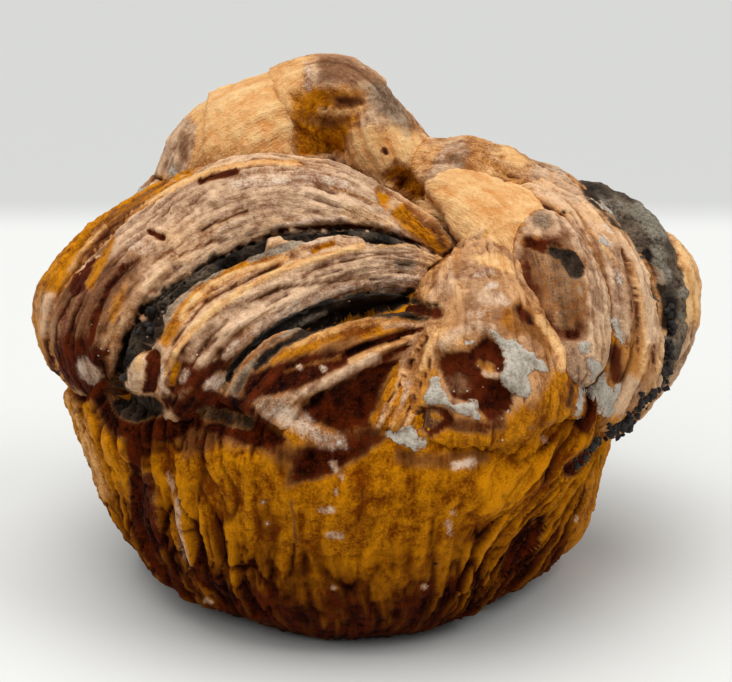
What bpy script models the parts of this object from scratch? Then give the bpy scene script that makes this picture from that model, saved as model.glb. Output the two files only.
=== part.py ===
# A cinnamon knot: laminated dough, cut in strips, twisted and knotted, and baked in a large
# muffin tin. Its foot is a round cup that took the tin's shape, and its folds lie over and
# beyond the cup's rim. Sheets of cinnamon filling show in three of the grooves.
# Numbers below are in millimetres, with the origin under the middle of the foot.

import math

import bmesh
import bpy
import numpy as np

MM = 0.001

# radius and height up the cup's side, past the tin's rim and on to its hidden top
FOOT_RADIUS = 22
CUP_SIDE = [
    (FOOT_RADIUS, 0), (27, 1), (31.4, 3.5), (35, 7.5), (37.5, 12.5), (39.5, 18),
    (41.2, 24), (42.5, 31), (40, 37), (34, 42.5), (24, 47.5), (0, 51),
]
CUP_RINGS = 20
CUP_SEGMENTS = 36

# the point that every fold wraps around, and so faces away from
HUB = np.array([0, 0, 24])

# the folds: points along each, as x, y, z, half its width and half its thickness
FOLDS = {
    "left_outer": [
        (-4, 8, 54, 5, 6), (-17, 8, 55, 8, 8), (-31, 5, 49, 10, 9), (-40, 1, 39, 11, 9),
        (-38, -1, 30, 9, 7),
    ],
    "left_broad": [
        (16, -9, 48, 3, 5), (4, -5, 54, 8, 9), (-11, -4, 57, 11, 10), (-24, -7, 51, 13, 10),
        (-33, -11, 41, 13, 10), (-33, -13, 31, 11, 8),
    ],
    "left_middle": [
        (17, -12, 48, 3, 5), (4, -16, 52, 6, 7), (-9, -21, 50, 8, 7.5), (-20, -26, 43, 9, 7.5),
        (-25, -29, 34, 9, 7),
    ],
    "left_lower": [
        (17, -17, 43, 3, 5), (7, -24, 45, 6, 7), (-3, -30, 43, 8, 7), (-11, -34, 37, 8, 7),
        (-14, -34.5, 31, 6, 6),
    ],
    "left_last": [(17, -20, 40, 3, 5), (11, -29, 39, 5, 6), (6, -35, 34, 6, 6), (3, -35, 28, 6, 5)],
    "front_end": [
        (18, -8, 50, 5, 6), (19, -18, 48, 8, 8), (20, -27, 42, 12, 10), (20, -31, 34, 14, 9),
        (20, -31, 28, 12, 7),
    ],
    "front_side": [(28, -3, 55, 5, 5), (31, -13, 52, 6, 6), (32, -21, 46, 6, 6), (33, -25, 38, 4, 5)],
    "crown_front": [(13, 8, 56, 5, 6), (20, 2, 56, 9, 7), (27, -5, 52, 9, 7), (30, -12, 45, 6, 6)],
    "crown_back": [(8, 14, 56, 6, 6), (17, 11, 60, 8, 7), (27, 10, 58, 8, 7), (36, 8, 52, 7, 6)],
    "right_inner": [
        (22, 8, 54, 6, 6), (31, 4, 53, 10, 8), (37, -3, 47, 13, 9), (38, -10, 37, 14, 9),
        (34, -15, 27, 12, 8),
    ],
    "right_outer": [
        (23, 26, 44, 8, 8), (34, 21, 48, 9, 9), (43.5, 14, 46, 11, 9.5), (47.5, 9, 39, 11.5, 9.5),
        (45, 6, 31.5, 10, 8), (37, 2, 26, 8, 6),
    ],
    "right_hem": [(37, 2, 32, 9, 7), (35.5, -1, 20, 9, 7), (32, -4, 11, 9, 6.5), (27, -6, 6, 7, 4.5)],
    "loop_left": [(-25, 15, 51, 7, 8), (-20, 18, 60, 11, 10.5), (-10.5, 20, 66.5, 11, 10.5), (-3, 18, 68, 8, 8)],
    "loop_top": [
        (-10, 13, 58, 5, 5), (-8, 18, 67, 6, 7), (-2, 19, 72, 8, 7), (5, 16, 67, 9, 7),
        (10, 10, 58, 7, 6),
    ],
    "back_upper": [(-30, 6, 50, 7, 8), (-22, 20, 54, 9, 9), (-4, 28, 56, 10, 10), (16, 25, 53, 9, 9), (31, 17, 48, 7, 7)],
    "back_middle": [(-39, 8, 38, 9, 8), (-30, 25, 45, 10, 9), (-7, 34, 47, 10, 10), (15, 34, 43, 10, 10), (31, 25, 35, 9, 8)],
    "back_lower": [(-33, 22, 33, 7, 7), (-18, 34, 37, 9, 8), (4, 38, 36, 9, 8), (22, 31, 31, 8, 7)],
    "core": [(-29, 10, 43, 9, 6), (-12, 19, 46, 15, 9), (10, 20, 46, 15, 9), (27, 19, 42, 9, 6)],
}
FOLD_RINGS = 16
FOLD_SEGMENTS = 12

# the filling: for each sheet, the two folds that it lies between and the stretch of each
# that it follows, half its thickness at both ends, and how far it stands out of the groove
SHEETS = {
    "filling_left_upper": ("left_broad", (0.12, 0.93), "left_middle", (0.12, 0.93), (0.5, 0.9), 1.2),
    "filling_left_lower": ("left_middle", (0.12, 0.93), "left_lower", (0.12, 0.93), (0.5, 0.9), 1.2),
    "filling_right": ("right_inner", (0.15, 0.92), "right_outer", (0.25, 0.9), (3.6, 1.8), 4.5),
}
SHEET_REACH = 6       # half the depth that a sheet runs into the dough
SHEET_POINTS = 7
SHEET_RINGS = 20
SHEET_SEGMENTS = 10
SLOT_ROOM = (0.5, 0.6)   # added to a sheet's half thickness and half depth by its slot


def make_material(name, colour, roughness):
    material = bpy.data.materials.new(name)
    material.use_nodes = True
    shader = material.node_tree.nodes["Principled BSDF"]
    shader.inputs["Base Color"].default_value = (*colour, 1)
    shader.inputs["Roughness"].default_value = roughness
    shader.inputs["Metallic"].default_value = 0
    return material


def unit(vectors):
    return vectors / np.linalg.norm(vectors, axis=1, keepdims=True)


def smooth_curve(points, share):
    """Read a smooth curve through the points, at shares of its number of spans."""
    points = np.asarray(points, float)
    spans = len(points) - 1
    before = 2 * points[0] - points[1]
    after = 2 * points[-1] - points[-2]
    run = np.vstack([before, points, after])
    place = np.clip(share, 0, 1) * spans
    span = np.minimum(place.astype(int), spans - 1)
    t = (place - span)[:, None]
    a, b, c, d = (run[span + k] for k in range(4))
    return 0.5 * (2 * b + (c - a) * t + (2 * a - 5 * b + 4 * c - d) * t**2 + (3 * b - a - 3 * c + d) * t**3)


def along_path(points, share):
    """Read the curve at shares of its real length, and give that length."""
    fine = np.linspace(0, 1, 300)
    route = smooth_curve(points, fine)
    steps = np.linalg.norm(np.diff(route[:, :3], axis=0), axis=1)
    walked = np.concatenate([[0], np.cumsum(steps)])
    return smooth_curve(points, np.interp(share * walked[-1], walked, fine)), walked[-1]


def link_object(name, bm, material=None):
    mesh = bpy.data.meshes.new(name)
    bm.to_mesh(mesh)
    bm.free()
    mesh.shade_smooth()
    piece = bpy.data.objects.new(name, mesh)
    bpy.context.scene.collection.objects.link(piece)
    if material:
        mesh.materials.append(material)
    return piece


def make_fold(name, points, rings, segments, material=None):
    """A round-ended roll of dough along the points: a ball drawn out along their curve."""
    bm = bmesh.new()
    bmesh.ops.create_uvsphere(bm, u_segments=segments, v_segments=rings, radius=1)
    ball = np.array([vert.co for vert in bm.verts])
    share = np.arccos(np.clip(ball[:, 2], -1, 1)) / math.pi
    turn = np.arctan2(ball[:, 1], ball[:, 0])

    here, length = along_path(points, share)
    ahead, _ = along_path(points, np.clip(share + 0.01, 0, 1))
    behind, _ = along_path(points, np.clip(share - 0.01, 0, 1))
    tangent = unit(ahead[:, :3] - behind[:, :3])
    out = here[:, :3] - HUB
    out = unit(out - np.sum(out * tangent, axis=1, keepdims=True) * tangent)
    side = np.cross(tangent, out)

    # each end closes in a quarter round, as long as the roll is thick there
    to_end = np.minimum(share, 1 - share) * length / np.sqrt(here[:, 3] * here[:, 4])
    swell = np.sqrt(1 - (1 - np.clip(to_end, 0, 1)) ** 2)
    across = (here[:, 3] * swell * np.cos(turn))[:, None] * side
    through = (here[:, 4] * swell * np.sin(turn))[:, None] * out
    for vert, place in zip(bm.verts, (here[:, :3] + across + through) * MM):
        vert.co = place
    return link_object(name, bm, material)


def make_cup(name, material):
    """The round foot, turned from its side's outline and closed by a flat bottom."""
    side = smooth_curve(CUP_SIDE, np.linspace(0, 1, CUP_RINGS))
    bm = bmesh.new()
    verts = [bm.verts.new((radius * MM, 0, height * MM)) for radius, height in [(0, 0), *side]]
    edges = [bm.edges.new(pair) for pair in zip(verts, verts[1:])]
    bmesh.ops.spin(
        bm, geom=verts + edges, axis=(0, 0, 1), cent=(0, 0, 0), angle=math.tau,
        steps=CUP_SEGMENTS, use_merge=True,
    )
    bmesh.ops.remove_doubles(bm, verts=bm.verts, dist=0.00001)
    bmesh.ops.recalc_face_normals(bm, faces=bm.faces)
    return link_object(name, bm, material)


def sheet_points(first, first_stretch, second, second_stretch, halves, proud, room):
    """Points along the groove between two folds, for a sheet that stands on edge in it."""
    near, _ = along_path(FOLDS[first], np.linspace(*first_stretch, SHEET_POINTS))
    far, _ = along_path(FOLDS[second], np.linspace(*second_stretch, SHEET_POINTS))
    part = near[:, 3] / (near[:, 3] + far[:, 3])
    middle = near[:, :3] + (far[:, :3] - near[:, :3]) * part[:, None]
    reach = np.linalg.norm(middle - near[:, :3], axis=1) / near[:, 3]
    groove = near[:, 4] * np.sqrt(np.clip(1 - reach**2, 0, 1))
    centre = middle + unit(middle - HUB) * (groove + proud - SHEET_REACH)[:, None]
    half = np.linspace(*halves, SHEET_POINTS) + room[0]
    deep = np.full(SHEET_POINTS, SHEET_REACH + room[1])
    return np.column_stack([centre, half, deep])


def combine(target, tool, operation):
    """Join a piece to the target, or cut it out, and keep the piece as a guide only."""
    step = target.modifiers.new(tool.name, "BOOLEAN")
    step.operation = operation
    step.solver = "MANIFOLD"
    step.object = tool
    tool.hide_render = True
    tool.display_type = "WIRE"


for old in list(bpy.data.objects):
    bpy.data.objects.remove(old)

crust = make_material("crust", (0.42, 0.22, 0.10), 0.6)
filling = make_material("filling", (0.05, 0.03, 0.02), 0.8)

dough = make_cup("knot_dough", crust)
for fold_name, fold_points in FOLDS.items():
    combine(dough, make_fold(fold_name, fold_points, FOLD_RINGS, FOLD_SEGMENTS), "UNION")

for sheet_name, layout in SHEETS.items():
    make_fold(sheet_name, sheet_points(*layout, (0, 0)), SHEET_RINGS, SHEET_SEGMENTS, filling)
    slot = sheet_points(*layout, SLOT_ROOM)
    combine(dough, make_fold(sheet_name + "_slot", slot, SHEET_RINGS, SHEET_SEGMENTS), "DIFFERENCE")
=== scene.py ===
import itertools
import math

import bmesh
import bpy
import numpy as np
from mathutils import Euler, Matrix, Vector
from mathutils.bvhtree import BVHTree


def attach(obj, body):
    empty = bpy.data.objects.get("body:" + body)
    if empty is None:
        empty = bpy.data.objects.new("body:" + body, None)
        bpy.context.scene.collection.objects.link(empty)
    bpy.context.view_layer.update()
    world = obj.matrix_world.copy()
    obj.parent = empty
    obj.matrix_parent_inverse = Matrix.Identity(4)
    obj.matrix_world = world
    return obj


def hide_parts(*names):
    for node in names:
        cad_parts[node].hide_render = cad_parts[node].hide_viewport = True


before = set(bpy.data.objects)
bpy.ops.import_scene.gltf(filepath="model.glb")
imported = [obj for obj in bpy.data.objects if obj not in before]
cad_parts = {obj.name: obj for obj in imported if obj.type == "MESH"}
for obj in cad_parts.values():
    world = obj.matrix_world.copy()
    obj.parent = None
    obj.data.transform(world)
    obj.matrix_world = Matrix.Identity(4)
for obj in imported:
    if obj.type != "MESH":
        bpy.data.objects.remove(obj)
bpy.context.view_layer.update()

mm = 0.001
hub = np.array([0, 0, 24])      # every fold wraps round this point and faces away from it

# the photograph's view: angles in degrees, lengths in mm, the rest in its pixels
photoView = {
    "target": (3.3, 0, 37),
    "elevation": 18,
    "distance": 300,
    "focal": 1920,
    "width": 732,
    "height": 682,
    "sensor": 36,
}
pixelsPerMm = 6.4


def viewFrom(azimuth, elevation):
    # a camera that circles the photograph's target: where it is, and its three ways
    turn, rise = math.radians(azimuth), math.radians(elevation)
    back = np.array([math.sin(turn) * math.cos(rise), -math.cos(turn) * math.cos(rise), math.sin(rise)])
    right = np.array([math.cos(turn), math.sin(turn), 0])
    eye = np.array(photoView["target"]) + back * photoView["distance"]
    return {"eye": eye, "back": back, "right": right, "up": np.cross(back, right)}


photoEye = viewFrom(0, photoView["elevation"])


def toPixels(places, view=photoEye):
    away = places - view["eye"]
    depth = -(away @ view["back"])
    across = photoView["width"] / 2 + photoView["focal"] * (away @ view["right"]) / depth
    down = photoView["height"] / 2 - photoView["focal"] * (away @ view["up"]) / depth
    return np.column_stack([across, down]), depth


def pixelRay(pixel, view=photoEye):
    across = (pixel[0] - photoView["width"] / 2) / photoView["focal"]
    rise = (photoView["height"] / 2 - pixel[1]) / photoView["focal"]
    return Vector(-view["back"] + view["right"] * across + view["up"] * rise).normalized()


def addObject(name, data):
    added = bpy.data.objects.new(name, data)
    bpy.context.scene.collection.objects.link(added)
    return added


def stand(holder, place, way):
    # puts a camera or a lamp at its place, looking that way
    holder.location = Vector(place) * mm
    holder.rotation_mode = "QUATERNION"
    holder.rotation_quaternion = Vector(way).to_track_quat("-Z", "Y")


def meshFrom(name, bm):
    mesh = bpy.data.meshes.new(name)
    bm.to_mesh(mesh)
    bm.free()
    return mesh


def makeCamera():
    lens = bpy.data.cameras.new("camera")
    lens.sensor_width = photoView["sensor"]
    lens.lens = photoView["focal"] * photoView["sensor"] / photoView["width"]
    camera = addObject("camera", lens)
    stand(camera, photoEye["eye"], -photoEye["back"])
    bpy.context.scene.camera = camera


class Value:
    # a node's output that Python's operators work on
    def __init__(self, paint, socket):
        self.paint = paint
        self.socket = socket

    def maths(self, operation, *values):
        return self.paint.node("ShaderNodeMath", {"operation": operation}, dict(enumerate(values)))

    def __add__(self, other):
        return self.maths("ADD", self, other)

    def __sub__(self, other):
        return self.maths("SUBTRACT", self, other)

    def __rsub__(self, other):
        return self.maths("SUBTRACT", other, self)

    def __mul__(self, other):
        return self.maths("MULTIPLY", self, other)

    __radd__ = __add__
    __rmul__ = __mul__

    def between(self, low, high):
        # 0 below low, 1 above high and smooth in between
        inputs = {"Value": self, "From Min": low, "From Max": high}
        return self.paint.node("ShaderNodeMapRange", {"interpolation_type": "SMOOTHSTEP"}, inputs)


class Paint:
    # one material, and the means to add nodes to it
    def __init__(self, name):
        self.material = bpy.data.materials.new(name)
        self.material.use_nodes = True
        self.tree = self.material.node_tree
        self.surface = self.tree.nodes["Principled BSDF"]

    def node(self, kind, settings, inputs, output=0):
        made = self.tree.nodes.new(kind)
        for key, setting in settings.items():
            setattr(made, key, setting)
        self.feed(made, inputs)
        return Value(self, made.outputs[output])

    def feed(self, made, inputs):
        for key, value in inputs.items():
            if isinstance(value, Value):
                self.tree.links.new(value.socket, made.inputs[key])
            else:
                made.inputs[key].default_value = value

    def attribute(self, name, output="Vector"):
        return self.node("ShaderNodeAttribute", {"attribute_name": name}, {}, output)

    def parts(self, vector):
        # a vector's three numbers
        split = self.node("ShaderNodeSeparateXYZ", {}, {0: vector})
        outputs = split.socket.node.outputs
        return [Value(self, outputs[k]) for k in range(3)]

    def noise(self, vector, scale, detail=2, rough=0.5):
        inputs = {"Vector": vector, "Scale": scale, "Detail": detail, "Roughness": rough}
        return self.node("ShaderNodeTexNoise", {}, inputs)

    def blend(self, factor, first, second, way="MIX"):
        # colours mixed by a factor
        settings = {"data_type": "RGBA", "blend_type": way, "clamp_result": False}
        return self.node("ShaderNodeMix", settings, {0: factor, 6: first, 7: second}, 2)

    def bump(self, height, distance, strength=1):
        return self.node("ShaderNodeBump", {}, {"Height": height, "Distance": distance, "Strength": strength})


def tone(red, green, blue):
    # a colour as it reads in the photograph, from 0 to 255, made linear for the shader
    def linear(level):
        level = level / 255
        return level / 12.92 if level < 0.04045 else ((level + 0.055) / 1.055) ** 2.4
    return (linear(red), linear(green), linear(blue), 1)


# the baked dough's colours; each has a dark form, for painted shade in its hollows and for random darker tone
crustTones = {
    "tan": tone(224, 160, 98),
    "dark tan": tone(146, 86, 38),
    "toast": tone(247, 206, 166),
    "dark toast": tone(122, 76, 48),
    # gold: the crust's own tone, and also a painted highlight on crests
    "gold": tone(255, 212, 150),
    "dark gold": tone(228, 154, 84),
    "amber": tone(220, 140, 8),
    "dark amber": tone(118, 52, 1),
    # maroon: dark browning, and also painted shade in cracks, under the folds and lower down
    "maroon": tone(96, 34, 5),
    "dark maroon": tone(18, 2, 1),
    # char: burnt crust, and also painted shadow in the grooves' gaps
    "char": tone(70, 54, 42),
    "dark char": tone(10, 7, 5),
    "ash": tone(166, 152, 132),
    "dark ash": tone(72, 62, 50),
    # haze: sugar and dust, and also a painted highlight on crests and lips
    "haze": tone(240, 220, 200),
    "dark haze": tone(160, 120, 94),
}

# what lies over the plain tan, in this order: how much of it shows at most, and how soft its edge is
crustLayers = {
    "toast": (1, 0.9),
    "amber": (1, 0.8),
    "gold": (0.95, 0.9),
    "maroon": (1, 0.7),
    "char": (1, 0.6),
    "ash": (0.9, 0.85),
    "haze": (0.8, 0.85),
}

# the noise in the crust's paint: scale, detail and roughness
crustNoise = {
    "streaks": (1.9, 4, 0.7),       # along the layers; the others are all round
    "cloud": (190, 3, 0.6),
    "mottle": (620, 5, 0.7),
    "fine": (2700, 3, 0.75),
    "specks": (1500, 1, 0.4),
}


def makeCrust(name, shine):
    # the masks on the mesh say where each tone lies; noise makes their edges ragged
    paint = Paint(name)
    grain = paint.attribute("grain")
    here = paint.node("ShaderNodeTexCoord", {}, {}, "Object")
    masks = dict(zip(("toast", "gold", "amber"), paint.parts(paint.attribute("browningAndPaintedLight"))))
    masks.update(zip(("maroon", "char", "ash"), paint.parts(paint.attribute("scorchAndPaintedShade"))))
    masks["haze"], recessShade, _ = paint.parts(paint.attribute("hazeAndShading"))

    streaks = paint.noise(grain, *crustNoise["streaks"]) - 0.5
    cloud, mottle, fine = (paint.noise(here, *crustNoise[key]) - 0.5 for key in ("cloud", "mottle", "fine"))
    edge = streaks * 0.9 + fine * 1.3 + mottle * 0.9 + cloud * 0.4
    # painted shade and highlight: the recess shade from the mesh darkens the hollows and lightens the crests
    light = (streaks * 0.8 + cloud * 1.8 + mottle * 2.2 + fine * 2.0 + recessShade).between(-0.25, 1.25)
    even = (streaks * 0.6 + cloud * 1.2 + mottle * 1.6 + fine * 0.9 + recessShade).between(-0.25, 1.25)

    def pair(key):
        # from its dark form, as painted shade in the hollows, to its light one, as a painted highlight on the
        # crests; the noise adds random tone
        lit = even if key in ("gold", "toast") else light
        return paint.blend(lit, crustTones["dark " + key], crustTones[key])

    colour = pair("tan")
    for key, (most, soft) in crustLayers.items():
        mask = masks[key]
        grit = edge * mask.between(0, 0.3) * (1 - mask * 0.6) * 0.9      # none where the mask is empty
        cover = (mask + grit).between(0.5 - soft * 0.55, 0.5 + soft * 0.55)
        colour = paint.blend(cover * most, colour, pair(key))
    specks = paint.noise(here, *crustNoise["specks"]).between(0.68, 0.8)     # on the toasted parts
    colour = paint.blend(specks * masks["toast"].between(0.2, 0.7) * 0.35, colour, crustTones["haze"])

    height = streaks * 0.6 + mottle * 0.4 + fine * 0.35
    paint.feed(paint.surface, {
        "Base Color": colour,
        "Roughness": 0.55 - masks["gold"] * 0.1 + masks["char"] * 0.25 + fine * 0.5,
        "Normal": paint.bump(height, 0.0011, 1),
        "Specular IOR Level": shine,
    })
    return paint.material


def makeIcingPaint(name):
    # dull white, thinning out to a brownish film at a patch's ragged edge
    paint = Paint(name)
    here = paint.node("ShaderNodeTexCoord", {}, {}, "Object")
    cover, _, _ = paint.parts(paint.attribute("cover"))
    cloud = paint.noise(here, 600, 4, 0.65) - 0.5
    fine = paint.noise(here, 2400, 3, 0.7) - 0.5
    body = cover + cloud * 1.6 + fine * 1.2
    blotches = (cloud * 2.2 + fine * 1.2 + 0.6).between(0, 1)
    colour = paint.blend(blotches, tone(134, 120, 102), tone(184, 175, 160))
    colour = paint.blend(body.between(0.2, 0.75), tone(176, 140, 112), colour)
    paint.feed(paint.surface, {
        "Base Color": colour,
        "Alpha": body.between(0.05, 0.6),
        "Roughness": 0.5 + fine * 0.6,
        "Normal": paint.bump(cloud * 0.7 + fine * 0.3, 0.0006, 0.8),
        "Specular IOR Level": 0.3,
    })
    return paint.material


def makeCharPaint(name):
    # burnt filling: brown black, with grey ash and soot where the masks on the mesh say
    paint = Paint(name)
    here = paint.node("ShaderNodeTexCoord", {}, {}, "Object")
    cloud = paint.noise(here, 350, 4, 0.65) - 0.5
    fine = paint.noise(here, 1800, 3, 0.7) - 0.5
    _, char, ash = paint.parts(paint.attribute("scorchAndPaintedShade"))
    colour = paint.blend((fine * 2.2 + cloud * 2).between(-0.6, 0.6), tone(42, 33, 26), tone(138, 116, 94))
    grey = paint.blend((fine * 2 + cloud).between(-0.5, 0.5), tone(88, 78, 64), tone(152, 144, 126))
    colour = paint.blend((ash + cloud * 0.9 + fine * 0.8).between(0.3, 0.8), colour, grey)
    colour = paint.blend((char + cloud * 0.6 + fine * 0.9).between(0.2, 0.9), colour, tone(20, 14, 10))
    paint.feed(paint.surface, {
        "Base Color": colour,
        "Roughness": 0.8 + fine * 0.3,
        "Normal": paint.bump(cloud + fine, 0.0006, 1),
        "Specular IOR Level": 0.2,
    })
    return paint.material


def makePlainPaint(name, light, dark, scale, rough):
    # two tones in small clouds
    paint = Paint(name)
    here = paint.node("ShaderNodeTexCoord", {}, {}, "Object")
    cloud = paint.noise(here, scale, 3, 0.6)
    paint.feed(paint.surface, {
        "Base Color": paint.blend(cloud.between(0.35, 0.65), dark, light),
        "Roughness": rough,
    })
    return paint.material


latticeSize = 32
latticeSlopes = np.random.default_rng(11).normal(size=(latticeSize**3, 3))
latticeSlopes = (latticeSlopes / np.linalg.norm(latticeSlopes, axis=1, keepdims=True)).astype(np.float32)


def noise(places, size, seed=0):
    # smooth lumps of the given size, from about -1 to 1
    spot = (places / np.asarray(size) + seed * 7.31).astype(np.float32)
    cell = np.floor(spot)
    part = spot - cell
    cell = cell.astype(np.int64)
    fade = part**3 * (part * (part * 6 - 15) + 10)
    total = np.zeros(len(spot), np.float32)
    for corner in itertools.product((0, 1), repeat=3):
        slot = (cell + corner) % latticeSize
        slope = latticeSlopes[(slot[:, 0] * latticeSize + slot[:, 1]) * latticeSize + slot[:, 2]]
        weight = np.prod(np.where(corner, fade, 1 - fade), axis=1)
        total += weight * np.sum(slope * (part - np.array(corner, np.float32)), axis=1)
    return total * 1.7


def step(values, low, high):
    # 0 below low, 1 above high and smooth in between
    part = np.clip((values - low) / (high - low), 0, 1)
    return part * part * (3 - 2 * part)


def unit(vectors):
    return vectors / np.linalg.norm(vectors, axis=1, keepdims=True)


def smoothCurve(points, share):
    # a smooth curve through the points, at shares of its number of spans
    points = np.asarray(points, float)
    spans = len(points) - 1
    run = np.vstack([2 * points[0] - points[1], points, 2 * points[-1] - points[-2]])
    place = np.clip(share, 0, 1) * spans
    span = np.minimum(place.astype(int), spans - 1)
    t = (place - span)[:, None]
    a, b, c, d = (run[span + k] for k in range(4))
    return 0.5 * (2 * b + (c - a) * t + (2 * a - 5 * b + 4 * c - d) * t**2 + (3 * b - a - 3 * c + d) * t**3)


def alongPath(points, share):
    # the curve at shares of its real length, and that length
    fine = np.linspace(0, 1, 300)
    route = smoothCurve(points, fine)
    walked = np.concatenate([[0], np.cumsum(np.linalg.norm(np.diff(route[:, :3], axis=0), axis=1))])
    return smoothCurve(points, np.interp(share * walked[-1], walked, fine)), walked[-1]


def pathFrame(points, share):
    # at each share: centre with half sizes, the way outwards, the way sideways, and the length
    here, length = alongPath(points, share)
    ahead, _ = alongPath(points, np.clip(share + 0.01, 0, 1))
    behind, _ = alongPath(points, np.clip(share - 0.01, 0, 1))
    tangent = unit(ahead[:, :3] - behind[:, :3])
    out = here[:, :3] - hub
    out = unit(out - np.sum(out * tangent, axis=1, keepdims=True) * tangent)
    return here, out, np.cross(tangent, out), length


faceSize = 0.29       # mm, on the side of a fold that shows
crowding = 0.42                              # how much closer the faces stand there

# the folds: points along each as x, y, z, half width and half thickness in mm; then the distance
# between its layers' edges and how deep they are in mm, and how much of it is toasted, amber, gold;
# calm is how much smoother it is than the others; sunk is a groove on its upper side, burnt and in
# painted shade: up to which share of its length, from and to which angle in radians, and how deep in mm
folds = {
    "leftOuter": {
        "path": [(-4, 8, 54, 5, 6), (-17, 8, 55, 8, 8), (-31, 5, 49, 10, 9), (-40, 1, 39, 11, 9),
                 (-38, -1, 30, 9, 7)],
        "pitch": 3.2, "ridge": 0.32, "toast": 0.45, "amber": 0.5, "gold": 0.0,
    },
    "leftBroad": {
        "path": [(16, -9, 48, 3, 5), (4, -5, 54, 8, 9), (-11, -4, 57, 11, 10), (-24, -7, 51, 12.5, 10),
                 (-33, -11, 41.5, 12, 10), (-33, -13, 31, 11, 8)],
        "pitch": 2.7, "ridge": 0.24, "toast": 0.8, "amber": 0.1, "gold": 0.1,
    },
    "leftMiddle": {
        "path": [(17, -12, 48, 3, 5), (4, -16, 52, 6, 7), (-9, -21, 50.5, 8.5, 7.5), (-20, -26, 44, 10, 8),
                 (-25.5, -29, 35, 9.5, 7)],
        "pitch": 2.5, "ridge": 0.26, "toast": 0.75, "amber": 0.1, "gold": 0.15,
        "sunk": (0.9, 0.5, 1.0, 2.6),
    },
    "leftLower": {
        "path": [(17, -17, 43, 3, 5), (7, -24, 45, 6, 7), (-3, -30, 43, 8, 7), (-10, -33.5, 37, 7.5, 6.5),
                 (-11, -33.5, 31, 5, 5)],
        "pitch": 2.1, "ridge": 0.4, "toast": 0.3, "amber": 0.4, "gold": 0.05,
        "sunk": (0.62, 0.1, 0.65, 3.4),
    },
    "leftLast": {
        "path": [(17, -20, 40, 3, 5), (11, -29, 39, 5, 6), (6, -35, 34, 6, 6), (3, -35, 28, 6, 5)],
        "pitch": 1.5, "ridge": 0.42, "toast": 0.15, "amber": 0.45, "gold": 0.2,
    },
    "frontEnd": {
        "path": [(18, -8, 50, 5, 6), (19, -18, 48, 8, 8), (20, -27, 42, 12, 10), (20, -31, 34, 14, 9),
                 (19, -30, 28, 11, 6)],
        "pitch": 4, "ridge": 0.18, "toast": 0.5, "amber": 0.3, "gold": 0,
    },
    "frontSide": {
        "path": [(28, -3, 55, 5, 5), (31, -13, 52, 6, 6), (32, -21, 46, 6, 6), (33, -25, 38, 4, 5)],
        "pitch": 3, "ridge": 0.15, "toast": 0.9, "amber": 0, "gold": 0, "calm": 0.6,
    },
    "crownFront": {
        "path": [(13, 8, 56, 5, 6), (20, 2, 56, 9, 7), (27, -5, 52, 9, 7), (30, -12, 45, 6, 6)],
        "pitch": 4, "ridge": 0.1, "toast": 0, "amber": 0, "gold": 0.9, "calm": 0.4,
    },
    "crownBack": {
        "path": [(8, 14, 56, 6, 6), (17, 11, 60, 8, 7), (27, 10, 58, 8, 7), (36, 8, 52, 7, 6)],
        "pitch": 4, "ridge": 0.15, "toast": 0.4, "amber": 0.1, "gold": 0.3,
    },
    "rightInner": {
        "path": [(22, 8, 54, 6, 6), (31, 4, 53, 10, 8), (37, -3, 47, 13, 9), (38, -10, 37, 14, 9),
                 (34, -15, 27, 12, 8)],
        "pitch": 3.4, "ridge": 0.4, "toast": 0.75, "amber": 0.15, "gold": 0,
    },
    "rightOuter": {
        "path": [(23, 26, 44, 8, 8), (34, 21, 48, 9, 9), (43.5, 14, 46, 11, 9.5), (47.5, 9, 39, 11.5, 9.5),
                 (45, 6, 31.5, 10, 8), (37, 2, 26, 8, 6)],
        "pitch": 3.4, "ridge": 0.25, "toast": 0.55, "amber": 0.15, "gold": 0.25,
    },
    "rightHem": {
        "path": [(37, 2, 32, 9, 7), (35.5, -1, 20, 9, 7), (32, -4, 11, 9, 6.5), (27, -6, 6, 7, 4.5)],
        "pitch": 2.6, "ridge": 0.4, "toast": 0, "amber": 0.95, "gold": 0.05,
    },
    "loopLeft": {
        "path": [(-25, 15, 51, 7, 8), (-20, 18, 60, 11, 10.5), (-10.5, 20, 66.5, 11, 10.5),
                 (-7, 20.5, 65.5, 8, 8)],
        "pitch": 4, "ridge": 0.12, "toast": 0.1, "amber": 0.15, "gold": 0.55, "calm": 0.6,
    },
    "loopTop": {
        "path": [(-10, 13, 58, 5, 5), (-8, 18, 67, 6, 7), (-2, 19, 72, 8, 7), (5, 16, 67, 9, 7),
                 (10, 10, 58, 7, 6)],
        "pitch": 3.4, "ridge": 0.12, "toast": 0.5, "amber": 0.2, "gold": 0.2, "calm": 0.8,
    },
    "backUpper": {
        "path": [(-30, 6, 50, 7, 8), (-22, 20, 54, 9, 9), (-4, 28, 56, 10, 10), (16, 25, 53, 9, 9),
                 (31, 17, 48, 7, 7)],
        "pitch": 2.8, "ridge": 0.35, "toast": 0.7, "amber": 0.1, "gold": 0.2,
    },
    "backMiddle": {
        "path": [(-39, 8, 38, 9, 8), (-30, 25, 45, 10, 9), (-7, 34, 47, 10, 10), (15, 34, 43, 10, 10),
                 (31, 25, 35, 9, 8)],
        "pitch": 2.6, "ridge": 0.36, "toast": 0.75, "amber": 0.1, "gold": 0.2,
        "sunk": (1.3, 0.65, 1.1, 2.2),
    },
    "core": {
        "path": [(-29, 10, 43, 9, 6), (-12, 19, 46, 15, 9), (10, 20, 46, 15, 9), (27, 19, 42, 9, 6)],
        "pitch": 3, "ridge": 0.3, "toast": 0.1, "amber": 0.9, "gold": 0,
    },
    "backLower": {
        "path": [(-33, 22, 33, 7, 7), (-18, 34, 37, 9, 8), (4, 38, 36, 9, 8), (22, 31, 31, 8, 7)],
        "pitch": 2.4, "ridge": 0.36, "toast": 0.45, "amber": 0.3, "gold": 0.15,
        "sunk": (0.75, 0.5, 0.95, 1.8),
    },
}

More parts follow.
